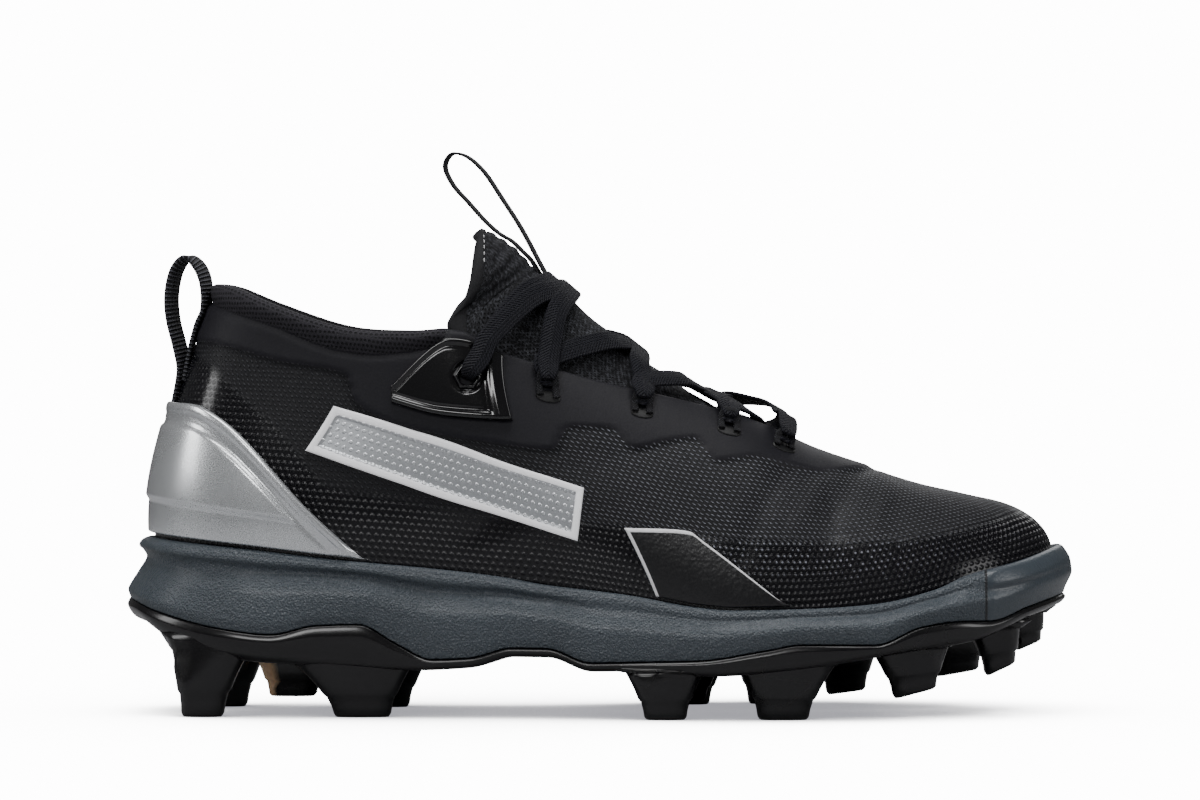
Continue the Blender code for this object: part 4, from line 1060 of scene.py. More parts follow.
def upper_finish():
    """Woven mesh, dotted glossy film low down with painted glints on its dots, smooth band and the
    collar's coarser roll.
    """
    tint = colours()
    finish = Finish("upper", tint.mesh, 0.6, specular=0.28, coat_roughness=0.16)
    u, v, _ = finish.parts(finish.cloth())
    place = finish.place()
    x_at = finish.parts(place)[0]
    film_at = finish.attribute("film")
    inside = finish.attribute("inside")
    on_band = finish.attribute("band").between(-0.0004, 0.0004)
    collar = (finish.attribute("rows") * -1.0).between(-COLLAR_FRONT - 0.6, -COLLAR_FRONT - 0.2)
    on_roll = finish.attribute("seam").between(-0.0005, 0.0005) * collar
    on_film = film_at.fading(-0.0035, 0.0015)

    thread = finish.dashes(u, v, *MESH_DASH, math.radians(-32)).fading(0.35, 1.15)
    grain = finish.noise(place, 500.0, 2.0)
    patchy = finish.noise(place, 38.0, 2.0)
    forward = x_at.between(-0.045, 0.015) * (x_at.between(0.03, 0.15) * -0.55 + 1.0) + 0.16
    flecks = thread * (grain * 0.9 + 0.15) * (patchy * 0.8 + 0.5) * forward
    woven = finish.mix(flecks, tint.mesh, tint.fleck)

    dot = finish.grid(u, v, FILM_DOT)
    dots = dot.fading(0.06, 0.46)
    large = finish.noise(place, 60.0, 2.0)
    matte = finish.noise(place, 1500.0, 2.0)
    # Painted highlight: light glints in the fleck colour on the film's dots, in a band just below
    # the film's top edge on the forefoot.
    low_film = film_at.between(-0.016, -0.006) * film_at.fading(-0.002, 0.002)
    glint = dot.fading(0.06, 0.28) * low_film * x_at.between(0.012, 0.030)
    glint = glint * (x_at.between(0.075, 0.120) * -0.8 + 1.0)
    glint = glint * finish.noise(place, 420.0, 1.0).between(0.40, 0.52)
    film = finish.mix(dots, tint.film, [part * 1.5 for part in tint.film])
    film = finish.mix(glint * 0.8, film, tint.fleck)

    roll_cell = finish.grid(u, v, ROLL_CELL).between(0.15, 0.4)
    roll = finish.mix(roll_cell * 0.6, tint.lining, tint.roll)
    base = finish.mix(on_band, finish.mix(on_film, woven, film), tint.eyestay)
    base = finish.mix(on_roll, base, roll)
    finish.set("Base Color", finish.mix(inside, base, tint.lining))
    rough = (on_film * -0.36 + 0.52 + large * 0.05) * on_band.rest() + on_band * 0.58
    finish.set("Roughness", rough + (on_roll + inside) * 0.2)
    coat = on_film * on_band.rest() * inside.rest() * 0.5
    finish.set("Coat Weight", coat * (x_at.between(0.085, 0.110) * -0.9 + 1.0))
    relief = (thread + grain * 0.3) * on_film.rest() + dots * on_film * 1.2
    relief = relief * on_band.rest() + on_band * matte * 0.12
    relief = relief * on_roll.rest() + on_roll * roll_cell
    finish.set("Normal", finish.bump(relief, 0.00045))
    return finish


def make_upper():
    """The upper's outer skin, padded rim and lining."""
    c = np.arange(UPPER_COLUMNS) * RING / UPPER_COLUMNS
    outer, marks = upper_skin(c)
    cc, hh = np.broadcast_arrays(c, np.linspace(0.0, 1.0, LINING_ROWS)[:, None])
    inner = wall_grid(cc, hh, -wall_thickness(cc, hh))
    plain = np.ones(cc.shape)
    lining_marks = {"band": plain, "seam": plain, "film": plain, "rows": from_heel(cc),
                    "inside": plain}
    skin = sheet_mesh(outer, metric_uv(outer, closed=True), marks, ring=True)
    lining = sheet_mesh(inner, metric_uv(inner, closed=True), lining_marks, ring=True, flip=True)
    rim = upper_rim(c, outer, inner, marks["seam"])
    bm = welded(joined(skin, rim, lining))
    return finished("upper_skin", bm, "upper_mesh", upper_finish().material, "upper")


def make_insole():
    """The insole's top and rounded edge."""
    s = sizes()
    tint = colours()
    c = np.arange(INSOLE_COLUMNS) * RING / INSOLE_COLUMNS
    foot = raw_wall(c, np.zeros(len(c))) - outward(c) * (s.wall + 2 * s.gap)
    middle = midline(foot)
    steps = INSOLE_EDGE + tuple((1.0, t) for t in np.linspace(0.15, 1.0, 10))
    rows = np.array([foot + UP * s.insole * rise + (middle - foot) * inward
                     for rise, inward in steps])
    under = np.array([middle, foot])
    bm = joined(sheet_mesh(rows, metric_uv(rows, closed=True), ring=True),
                sheet_mesh(under, metric_uv(under, closed=True), ring=True))
    finish = weave_finish("insole", tint.insole, INSOLE_THREAD, tint.fleck, 0.85, plain=0.25)
    return finished("insole_bed", welded(bm), "insole_fabric", finish.material, "insole")


SOLE_COLUMNS = 420
BUMPER_SEAM = 0.403
COPPER = (0.92, 0.62, 0.38)
# The inner heel lug shows copper on its rear face: x in metres, and its rear x in LUGS.
COPPER_LUG = (-0.105, -0.350)

# A lug from its rounded tip up to its root: share of the way, then in mm how far it is drawn in
# and raised by the rounding and how far its ledge stands out.
LUG_PROFILE = (
    # share, drawn in, raised, ledge
    (0.00, 1.30, 0.0, 0.00),
    (0.00, 0.70, 0.0, 0.00),
    (0.02, 0.25, 0.2, 0.00),
    (0.05, 0.00, 0.2, 0.00),
    (0.20, 0.00, 0.0, 0.00),
    (0.36, 0.00, 0.0, 0.00),
    (0.39, 0.00, 0.0, 0.35),
    (0.43, 0.00, 0.0, 0.55),
    (0.60, 0.00, 0.0, 0.55),
    (0.75, 0.00, 0.0, 0.50),
    (0.88, 0.00, 0.0, 0.40),
    (1.00, 0.00, 0.0, 0.30),
)
# Inside the plate: share of its thickness, and how far the lug's rings reach fore and aft in mm.
LUG_FLOW = ((0.30, 1.2), (0.55, 2.6), (0.82, 4.2))
LUG_CORNER_STEPS = 4

# How far in the flat covers of midsole and plate start, in metres, and the rings that are drawn
# between the knots of their sides.
SOLE_INSET = 0.006
MIDSOLE_FINER = 6
PLATE_FINER = 4

# The toe bumper: how far its edge and shoulder stand out, how much its edge rises, the ring rows
# over which it grows, and the depth of its seam. The heel's side is fuller too.
BUMPER_EDGE_OUT = 0.0062
BUMPER_SHOULDER_OUT = 0.0082
BUMPER_RISE = 0.0014
BUMPER_ROWS = (11.2, 13.0)
FULLER_TOE_ROWS = (11.4, 13.2)
FULLER_TOE = 0.0042
FULLER_HEEL_ROWS = (1.0, 2.6)
FULLER_HEEL = 0.0022
SEAM_DEPTH = 0.0005
BUMPER_PROUD = 0.0003


def flare(c, column):
    """How far the sole's side stands out at ring places c, in metres."""
    values = [row[column] for row in FLARES]
    return spline(values, range(ROWS + 1), from_heel(c)) * sizes().ball_width


def sole_points(c, stand_out, z):
    """Points outside the foot line at ring places c, at given heights."""
    point = raw_wall(c, np.zeros(len(c))) + outward(c) * np.reshape(stand_out, (-1, 1))
    point[:, 2] = z
    return point


def sole_heights(c):
    """Heights of the join of midsole and outsole and of the plate's underside."""
    s = sizes()
    x = sole_points(c, flare(c, 1), 0.0)[:, 0]
    join = edge_height(JOIN_EDGE, s.sole_height, x)
    under = np.minimum(edge_height(UNDER_EDGE, s.sole_height, x), join - s.plate_min)
    return join, under


def limited(slope, chord):
    """Slopes made no longer than the chord beside them."""
    longest = np.linalg.norm(chord, axis=1, keepdims=True)
    length = np.linalg.norm(slope, axis=1, keepdims=True)
    return slope * np.minimum(1.0, longest / np.maximum(length, TINY))


def smooth_profile(knots, count):
    """A curve that never overshoots through rings of points, count rings to each pair."""
    knots = np.array(knots)
    rows = []
    last = len(knots) - 1
    for i in range(last):
        b = knots[i]
        d = knots[i + 1]
        start = limited((d - knots[max(i - 1, 0)]) * 0.5, d - b)
        end = limited((knots[min(i + 2, last)] - b) * 0.5, d - b)
        for k in range(count):
            t = k / count
            rows.append(b * (2 * t ** 3 - 3 * t * t + 1) + start * (t ** 3 - 2 * t * t + t)
                        + d * (3 * t * t - 2 * t ** 3) + end * (t ** 3 - t * t))
    rows.append(knots[-1])
    return np.array(rows)


def midsole_knots(c, inner, join):
    """Rings of points down the midsole's side, from its lip to its join with the outsole."""
    s = sizes()
    out = outward(c)
    span = (inner[:, 2] - join)[:, None]
    foot_x = raw_wall(c, np.zeros(len(c)))[:, :1]
    rows = from_heel(c)[:, None]
    toe = ease_between(rows, *BUMPER_ROWS)
    fore = ease_between(rows, *FULLER_TOE_ROWS)
    fuller = FULLER_HEEL * (1 - ease_between(rows, *FULLER_HEEL_ROWS)) + FULLER_TOE * fore
    groove = s.crease * 1.6 * ease((0.02 - foot_x / s.length) / 0.12)

    def at(stand_out, share):
        """Points off the foot line, a share of the way from the join up to the lip."""
        return sole_points(c, stand_out, 0) + UP * (join[:, None] + span * share)

    rim = inner + out * (s.lip * 0.40 + fuller * 0.30) + UP * 0.0001
    edge = inner + out * (s.lip * 0.90 + fuller * 0.80) - UP * span * 0.05
    shoulder = inner + out * (s.lip * 1.08 + fuller) - UP * span * 0.14
    toe_edge = at(BUMPER_EDGE_OUT, 1.0) + UP * BUMPER_RISE
    rim = rim * (1 - toe) + ((inner + toe_edge) / 2 + UP * 0.0012) * toe
    edge = edge * (1 - toe) + toe_edge * toe
    shoulder = shoulder * (1 - toe) + at(BUMPER_SHOULDER_OUT, 0.88) * toe
    crease = (shoulder * LEVEL - out * groove + out * toe * 0.00045
              + UP * (join[:, None] + span * 0.775))
    middle = flare(c, 0)
    bottom = flare(c, 1)
    return [inner, rim, edge, shoulder, crease, at(middle * (0.72 + 0.265 * fore[:, 0]), 0.66),
            at(middle, 0.46), at(bottom, 0.14), at(bottom - 0.0006, 0.0)]


def midsole_finish():
    """Leather-like grain on foam, smooth on the toe bumper, with a dark line at its seam."""
    tint = colours()
    finish = Finish("midsole", tint.midsole, 0.38, specular=0.6, coat=0.15, coat_roughness=0.25)
    place = finish.place()
    past_seam = finish.attribute("bumper")
    on_bumper = past_seam.between(-0.0004, 0.0004)
    pebble = finish.cells(place, 1500.0)
    soft = finish.noise(place, 1100.0, 3.0, 0.6)
    broad = finish.noise(place, 45.0, 3.0)
    cloudy = finish.mix(broad.between(0.35, 0.75) * 0.35, tint.midsole,
                        [part * 1.35 for part in tint.midsole])
    seam_line = past_seam.between(-0.0006, -0.0002) * past_seam.fading(0.0002, 0.0006)
    finish.set("Base Color", finish.mix(seam_line * 0.85, cloudy, tint.outsole))
    finish.set("Roughness", on_bumper * -0.06 + 0.34 + soft * 0.1)
    grain = (pebble * 1.2 + soft * 0.8) * (on_bumper * -0.8 + 1.0)
    finish.set("Normal", finish.bump(grain, 0.00034))
    return finish


def make_midsole():
    """The foam midsole: rounded lip, groove, bulging side and smooth toe bumper."""
    s = sizes()
    c = np.arange(SOLE_COLUMNS) * RING / SOLE_COLUMNS
    out = outward(c)
    lip_h = lip_height(c)
    join, _ = sole_heights(c)
    side = smooth_profile(midsole_knots(c, wall(c, lip_h, s.gap), join), MIDSOLE_FINER)
    past_seam = side[..., 0] - s.length * BUMPER_SEAM
    push = (BUMPER_PROUD * ease(past_seam / 0.001)
            - SEAM_DEPTH * np.exp(-(past_seam / 0.0006) ** 2))
    push[0] = 0.0
    side = side + out[None] * push[..., None]
    floor = raw_wall(c, np.zeros(len(c))) + (out - UP) * s.gap
    under = sole_points(c, flare(c, 1) - SOLE_INSET, join)
    rows = np.concatenate(([floor, wall(c, lip_h / 2, s.gap)], side, [under]))
    marks = {"bumper": rows[..., 0] - s.length * BUMPER_SEAM}
    bm = sheet_mesh(rows, metric_uv(rows, closed=True), marks, ring=True)
    bm = welded(floored(floored(bm, floor), under))
    finish = midsole_finish()
    return finished("midsole_body", bm, "midsole_rubber", finish.material, "midsole")


def lug_ring(low, high, z_rear, z_front):
    """Points round a block with rounded corners, its end sloping from rear to front."""
    radius = [(high[k] - low[k]) * LUG_CORNER * 1.3 for k in (0, 1)]
    slope = (z_front - z_rear) / (high[0] - low[0])
    ring = []
    corners = ((high[0], low[1], 1, -1), (high[0], high[1], 1, 1),
               (low[0], high[1], -1, 1), (low[0], low[1], -1, -1))
    for number, (x, y, sx, sy) in enumerate(corners):
        for k in range(LUG_CORNER_STEPS + 1):
            turn = (k / LUG_CORNER_STEPS) * math.pi / 2
            a, b = math.sin(turn), math.cos(turn)
            if number % 2:
                a, b = b, a
            px = x - sx * radius[0] * (1 - a)
            py = y - sy * radius[1] * (1 - b)
            ring.append((px, py, z_rear + slope * (px - low[0])))
    return np.array(ring)


def lug_rings(row, outline, away):
    """Rings of a tapered lug from its rounded tip, past its step, up inside the plate."""
    s = sizes()
    rear, front, outer, inner, behind, ahead, beside, z_rear, z_front = row
    low = np.array((rear * s.length, min(outer, inner) * s.ball_width))
    high = np.array((front * s.length, max(outer, inner) * s.ball_width))
    behind, ahead, beside = (reach * s.length for reach in (behind, ahead, beside))
    middle_x = (low[0] + high[0]) / 2
    root_z = float(edge_height(UNDER_EDGE, s.sole_height, middle_x)) + LUG_ROOT
    thick = min(float(edge_height(JOIN_EDGE, s.sole_height, x)
                      - edge_height(UNDER_EDGE, s.sole_height, x))
                for x in (low[0] - behind, high[0] + ahead, middle_x)) - s.gap
    rings = []
    for share, drawn_in, raised, ledge in LUG_PROFILE:
        grown = (ledge - drawn_in) * MM
        wide = share * beside + grown
        long = share ** 1.7
        levels = [z * s.sole_height * (1 - share) + root_z * share + raised * MM
                  for z in (z_rear, z_front)]
        rings.append(lug_ring(low - np.array((behind * long + grown, wide)),
                              high + np.array((ahead * long + grown, wide)), *levels))
    wide = beside + LUG_PROFILE[-1][3] * MM
    for rise, spread in LUG_FLOW:
        level = root_z - LUG_ROOT + thick * rise
        rings.append(lug_ring(low - np.array((behind + spread * MM, wide)),
                              high + np.array((ahead + spread * MM, wide)), level, level))
    rings = np.array(rings)
    limits = np.interp(np.arange(len(rings)), (3, len(rings) - 4, len(rings) - 1),
                       (3.0, -0.1, -0.3)) * MM
    for ring, limit in zip(rings, limits):
        offset = ring[:, None, :2] - outline[None, :, :2]
        nearest = np.argmin(np.linalg.norm(offset, axis=2), axis=1)
        beyond = np.sum((ring[:, :2] - outline[nearest, :2]) * away[nearest, :2], axis=1) - limit
        ring[:, :2] -= away[nearest, :2] * np.maximum(beyond, 0.0)[:, None]
    return rings


def make_outsole():
    """The wavy plate and its lugs."""
    s = sizes()
    tint = colours()
    c = np.arange(SOLE_COLUMNS) * RING / SOLE_COLUMNS
    join, under = sole_heights(c)
    join = join - s.gap
    deep = join - under
    top = flare(c, 1)
    bottom = flare(c, 2)
    knots = [
        sole_points(c, top - SOLE_INSET, join),
        sole_points(c, top - 0.0012, join),
        sole_points(c, top - 0.0004, join - deep * 0.06),
        sole_points(c, top + 0.0002, join - deep * 0.30),
        sole_points(c, top * 0.72 + bottom * 0.28, join - deep * 0.70),
        sole_points(c, bottom + 0.0008, under + deep * 0.06),
        sole_points(c, bottom - 0.0012, under),
        sole_points(c, bottom - SOLE_INSET, under),
    ]
    rows = smooth_profile(knots, PLATE_FINER)
    bm = sheet_mesh(rows, metric_uv(rows, closed=True), ring=True)
    bm = welded(floored(floored(bm, rows[0]), rows[-1]))
    outline = sole_points(c, top, 0)
    for row in LUGS:
        rings = lug_rings(row, outline, outward(c))
        copper = (rings[..., 2] > 0.004) * (rings[..., 0] < COPPER_LUG[0] + 0.0022)
        copper = copper * (abs(row[0] - COPPER_LUG[1]) < 0.001) * 1.0
        lug = sheet_mesh(rings, metric_uv(rings, closed=True), {"copper": copper}, ring=True)
        bmesh.ops.holes_fill(lug, edges=lug.edges, sides=64)
        bmesh.ops.recalc_face_normals(lug, faces=lug.faces)
        bm = joined(bm, lug)
    finish = Finish("outsole", tint.outsole, 0.22, coat=0.25, coat_roughness=0.16, specular=0.5)
    place = finish.place()
    swirl = finish.noise(place, 28.0, 2.0)
    finish.set("Base Color", finish.mix(finish.attribute("copper"), tint.outsole, COPPER))
    finish.set("Roughness", swirl * 0.12 + 0.20)
    finish.set("Normal", finish.bump(finish.noise(place, 160.0, 2.0), 0.0002, 0.25))
    return finished("outsole_plate", bm, "outsole_plastic", finish.material, "outsole")


# The tongue: how much finer its grid is drawn, its rounded edge, the groove inside its binding,
# its ribs, and its row of stitches. A stitch's profile is the share of its length and the size
# there.
TONGUE_FINER = 6
TONGUE_ROUND = 0.0030
TONGUE_BINDING = 0.0095
BINDING_DEPTH = 0.0006
RIB_HEIGHT = 0.00025
STITCHED_ROWS = 26
STITCH_INSET = 0.0078
STITCH_LIFT = 0.00005
STITCH_PITCH = 0.0026
STITCH_LENGTH = 0.0015
STITCH_RADIUS = 0.00022
STITCH_PROFILE = ((0.0, 0.25), (0.15, 0.85), (0.5, 1.0), (0.85, 0.85), (1.0, 0.25))


def inside_wall(c, h):
    """Points that clear the upper's inner face."""
    c = np.atleast_1d(np.asarray(c, float))
    h = np.broadcast_to(h, c.shape)
    return wall(c, h, -(wall_thickness(c, h) + sizes().tongue_clearance))


def hoop_half(a, side):
    """Half of the tongue's hoop at place a, from its edge to its ridge."""
    s = sizes()
    last = len(HOOPS) - 1
    if last < a < last + 1:
        t = a - last
        return hoop_half(last, side) * (1 - t) + hoop_half(last + 1, side) * t
    inside = a <= last
    table = HOOPS if inside else FREE_HOOPS
    at = a if inside else a - last - 1
    values = [float(spline(column, range(len(table)), at)) for column in zip(*table)]
    ridge = np.array((values[3] * s.length, 0.0, values[4] * s.collar_height))
    if inside:
        spans = np.linspace(values[1], values[2], 3)
        wing = list(inside_wall(np.full(3, on_side(values[0], side)), spans))
        slope = unit(wing[2] - wing[1])
    else:
        wing = [np.array((values[0] * s.length, side * values[1] * s.ball_width,
                          values[2] * s.collar_height))]
        slope = np.array((FREE_SLOPE[0], side * FREE_SLOPE[1], FREE_SLOPE[2]))
    reach = np.linalg.norm(ridge - wing[-1])
    low = wing[-1] + slope * reach * 0.30
    high = ridge + np.array((0.0, side * abs(wing[-1][1]) * 0.62, 0.0))
    steps = HOOP_POINTS - len(wing)
    arch = []
    for k in range(1, steps + 1):
        t = k / steps
        arch.append(wing[-1] * (1 - t) ** 3 + low * 3 * t * (1 - t) ** 2
                    + high * 3 * t * t * (1 - t) + ridge * t ** 3)
    return np.array(wing + arch)


def grid_normals(grid):
    """Normals of a grid of points, from the slopes along its rows and columns."""
    along = np.gradient(grid, axis=0)
    across = np.gradient(grid, axis=1)
    return unit(np.cross(along, across))


def refined(grid, times):
    """A grid with more points between its own, on a smooth curve both ways."""
    across = np.moveaxis(smooth_path(grid, times), 1, 0)
    return np.moveaxis(smooth_path(across, times), 0, 1)


def tongue_grid():
    """Outer points and outward normals of the tongue, hoop by hoop."""
    count = (len(HOOPS) + len(FREE_HOOPS) - 1) * HOOPS_PER_ROW + 1
    places = [k / HOOPS_PER_ROW for k in range(count)]
    grid = np.array([np.vstack((hoop_half(a, -1), hoop_half(a, 1)[-2::-1])) for a in places])
    normals = grid_normals(grid)
    middle = normals[count // 2, HOOP_POINTS - 1]
    return grid, normals if middle[2] > 0 else -normals


def tongue_at(grids, a, share):
    """Point and normal on the tongue's outer face, share -1 to 1 from lateral to medial edge."""
    row = a * HOOPS_PER_ROW
    column = (share + 1) * (HOOP_POINTS - 1)
    i = int(min(max(math.floor(row), 0), len(grids[0]) - 2))
    j = int(min(max(math.floor(column), 0), 2 * HOOP_POINTS - 3))
    u = row - i
    v = column - j
    mixed = []
    for grid in grids:
        low = grid[i, j] * (1 - v) + grid[i, j + 1] * v
        high = grid[i + 1, j] * (1 - v) + grid[i + 1, j + 1] * v
        mixed.append(low * (1 - u) + high * u)
    return mixed[0], unit(mixed[1])


def closed_sheet(outer, inner, attributes=None):
    """A soft slab from two grids of points, bridged round their edge."""
    front = sheet_mesh(outer, metric_uv(outer), attributes)
    back = sheet_mesh(inner, metric_uv(inner), attributes, flip=True)
    bm = joined(front, back)
    bmesh.ops.bridge_loops(bm, edges=[edge for edge in bm.edges if edge.is_boundary])
    bmesh.ops.recalc_face_normals(bm, faces=bm.faces)
    return bm


def tongue_finish():
    """Knobbly cloth with a smooth bound edge."""
    tint = colours()
    finish = Finish("tongue", tint.mesh, 0.8, specular=0.35)
    u, v, _ = finish.parts(finish.cloth())
    bound = finish.attribute("edge").fading(0.0088, 0.0094)
    cell = finish.grid(u, v, TONGUE_CELL).between(0.15, 0.4)
    grain = finish.noise(finish.place(), 800.0, 3.0)
    woven = finish.mix(cell * grain.between(0.35, 0.8) * 0.22, tint.mesh, tint.fleck)
    finish.set("Base Color", finish.mix(bound, woven, tint.lining))
    finish.set("Normal", finish.bump(cell * bound.rest() + grain * 0.5, 0.00030, 0.9))
    finish.set("Roughness", bound * -0.12 + 0.85)
    return finish


def make_tongue():
    """The padded tongue: woven face, smooth bound edge and a row of light stitches."""
    s = sizes()
    tint = colours()
    outer, normal = (refined(grid, TONGUE_FINER) for grid in tongue_grid())
    normal = unit(normal)
    rows, columns = outer.shape[:2]
    across = np.linspace(-1.0, 1.0, columns)[None, :]
    up = np.linspace(0.0, 1.0, rows)[:, None]
    width = np.linalg.norm(np.diff(outer, axis=1), axis=2).sum(axis=1)[:, None]
    length = walked(outer[:, columns // 2])[-1]
    edge = np.minimum((1 - np.abs(across)) * width / 2, (1 - up) * length)
    drop = s.tongue / 2 * (1 - rounded(edge, TONGUE_ROUND))
    ribs = RIB_HEIGHT * np.cos(2 * np.pi * up * length / TONGUE_RIB)
    ribs = ribs * ease_between(edge, 0.012, 0.016)
    groove = BINDING_DEPTH * np.exp(-((edge - TONGUE_BINDING) / 0.0010) ** 2)
    face = outer - normal * (drop + groove - ribs)[..., None]
    back = outer - normal * (s.tongue - drop)[..., None]
    bm = closed_sheet(face, back, {"edge": edge})
    tongue = finished("tongue_pad", bm, "tongue_fabric", tongue_finish().material, "tongue")
    stitches = []
    for side in (0, 1):
        path = []
        normals = []
        for row in range(rows - STITCHED_ROWS, rows - 3):
            line = edge[row] if side == 0 else edge[row][::-1]
            column = int(np.argmax(line > STITCH_INSET))
            column = column if side == 0 else columns - 1 - column
            path.append(face[row, column] + normal[row, column] * STITCH_LIFT)
            normals.append(normal[row, column])
        stitches += stitch_row(np.array(path), np.array(normals))
    thread = Finish("stitch", [part * 0.6 for part in tint.white], 0.6)
    finished("tongue_stitches", joined(*stitches), "tongue_fabric", thread.material)
    return tongue


def stitch(start, end, out):
    """One raised stitch: a small bar, rounded off at both ends."""
    side = np.cross(out, unit(end - start))
    turns = np.arange(6) * math.pi / 3
    section = np.outer(np.cos(turns), side) + np.outer(np.sin(turns) * 0.7 + 0.5, out)
    rings = [start * (1 - share) + end * share + section * STITCH_RADIUS * size
             for share, size in STITCH_PROFILE]
    bm = sheet_mesh(np.array(rings), ring=True)
    bmesh.ops.holes_fill(bm, edges=bm.edges, sides=len(turns))
    bmesh.ops.recalc_face_normals(bm, faces=bm.faces)
    return bm


def stitch_row(path, normals):
    """Short stitches along a line of points."""
    walk = walked(path)

    def at(distance, values):
        """The point or normal at a distance along the line."""
        return np.array([np.interp(distance, walk, column) for column in values.T])

    starts = np.arange(int(walk[-1] / STITCH_PITCH)) * STITCH_PITCH
    return [stitch(at(start, path), at(start + STITCH_LENGTH, path), unit(at(start, normals)))
            for start in starts]


def strap(path, normals, width, thickness):
    """A flat strap with rounded sides along a path, with its UV map in metres."""
    path = np.asarray(path, float)
    normals = np.asarray(normals, float)
    along = np.gradient(path, axis=0)
    side = unit(np.cross(along, normals))
    face = unit(np.cross(side, along))
    width = np.broadcast_to(width, len(path))
    section = []
    corner = thickness / 2
    turns = [math.radians(d) for d in (0, 30, 60, 90)]
    for sx, sy, order in ((1, -1, turns[::-1]), (1, 1, turns), (-1, 1, turns[::-1]),
                          (-1, -1, turns)):
        for turn in order:
            section.append((sx, corner * (math.cos(turn) - 1) * sx,
                            sy * corner * math.sin(turn)))
    walk = walked(path)
    points = np.zeros((len(path), len(section), 3))
    uv = np.zeros((len(path), len(section) + 1, 2))
    for k, (sign, inset, height) in enumerate(section):
        reach = (sign * width / 2 + inset)[:, None]
        points[:, k] = path + side * reach + face * height
        uv[:, k, 0] = walk
        uv[:, k, 1] = reach[:, 0]
    uv[:, -1] = uv[:, 0]
    bm = sheet_mesh(points, uv, ring=True)
    bmesh.ops.holes_fill(bm, edges=bm.edges, sides=len(section))
    bmesh.ops.recalc_face_normals(bm, faces=bm.faces)
    return bm


# Reliefs of the overlays, in metres: heights off the face, and distances in from the edge. The
# wing's top is an h.
COUNTER_RIM = 0.0006
COUNTER_RIM_WIDTH = 0.0024
COUNTER_VALLEY = 0.0060
COUNTER_PANEL = 0.0011
COUNTER_COLUMNS = 150
WING_TOP = 0.985
WING_FLANGE = 0.0040
WING_FLANGE_RISE = 0.0003
WING_GROOVE = 0.0026
WING_GROOVE_WIDTH = 0.0006
WING_FIELD_DEPTH = 0.0004
WING_DISH = 0.0045
WING_DISH_DEPTH = 0.0006
BAR_RIM = 0.0019
BAR_FIELD_DEPTH = 0.0004

# The line over which the counter's panel stands up: z of COLLAR_HEIGHT at x of LENGTH, and slope.
PANEL_Z = 0.486
PANEL_X = -0.427
PANEL_SLOPE = -0.30

# The boss round each lace plate's hole: past the hole's radius, height off the wall, in metres.
BOSS_PROFILE = (
    # out, up
    (0.0000, -0.0006),
    (0.0000, 0.0019),
    (0.0003, 0.0023),
    (0.0007, 0.0025),
    (0.0012, 0.0023),
    (0.0016, 0.0017),
    (0.0021, 0.0008),
)
BOSS_STEPS = 48

# An eyelet loop's way from slit to slit: across as a share of its half spread, share of its
# height.
EYELET_TURNS = (
    (-1.0, -0.06), (-1.0, 0.25), (-1.0, 0.5), (-0.93, 0.8), (-0.6, 0.97), (0.0, 1.03),
    (0.6, 0.97), (0.93, 0.8), (1.0, 0.5), (1.0, 0.25), (1.0, -0.06),
)
SLIT_POINTS = 13


def patch(places, low, high, lift, thickness, radius=0.0009, slant=0.0, rows=26, relief=None):
    """A moulded patch on the wall between two edges given as h at each place, edges rounded."""
    c = np.asarray(places, float)
    low_h = low(c)
    high_h = high(c)
    tall = np.linalg.norm(raw_wall(c, high_h) - raw_wall(c, low_h), axis=1)
    last = len(EDGE_STEPS) - 1
    steps = [np.minimum(reach / tall, 0.45 * k / last) for k, reach in enumerate(EDGE_STEPS)]
    t = steps + [steps[-1] + (1 - 2 * steps[-1]) * k / rows for k in range(1, rows)]
    t = np.array(t + [1 - step for step in steps[::-1]])
    cc = c[None] + slant * (t - 0.5)
    hh = low_h[None] + (high_h - low_h)[None] * t
    base = wall_grid(cc, hh)
    walk = np.linalg.norm(np.diff(base, axis=1), axis=2)
    left = np.concatenate((np.zeros((len(t), 1)), np.cumsum(walk, axis=1)), axis=1)
    to = {"left": left, "right": left[:, -1:] - left, "low": t * tall[None],
          "high": (1 - t) * tall[None]}
    to["edge"] = np.minimum.reduce(list(to.values()))
    height = thickness * rounded(to["edge"], radius)
    if relief is not None:
        height = height + relief(base, to)
    height = height * ease(tall / 0.0035 - 0.4)
    outer = wall_grid(cc, hh, lift + height)
    inner = wall_grid(cc, hh, lift)
    bm = joined(sheet_mesh(outer, metric_uv(outer), to),
                sheet_mesh(inner, metric_uv(inner), {"edge": to["edge"]}, flip=True))
    return welded(bm, PATCH_WELD, [vert for vert in bm.verts if vert.is_boundary])


def crowded(first, last, count):
    """Ring places from first to last, close together at both ends."""
    edge = EDGE_STEPS / ROW_LENGTH
    inside = np.linspace(first + edge[-1], last - edge[-1], count)[1:-1]
    return np.concatenate((first + edge, inside, last - edge[::-1]))


def side_places(first, last, side, step=0.0009):
    """Ring places on one side, crowded at both ends, about step metres apart between."""
    rows = crowded(first, last, max(4, int((last - first) * ROW_LENGTH / step)))
    return rows if side < 0 else (RING - rows)[::-1]


def above_lip(c):
    """Just above the midsole's lip."""
    return lip_height(c) + ABOVE_LIP


def along_edge(edge):
    """What gives the h of a side-view edge at ring places."""
    return lambda c: height_at_edge(c, edge, sizes().collar_height)


def over_lip(edge):
    """The same, but nowhere lower than just past the patch's foot at the lip."""
    return lambda c: np.maximum(along_edge(edge)(c), above_lip(c) + THIN_END)


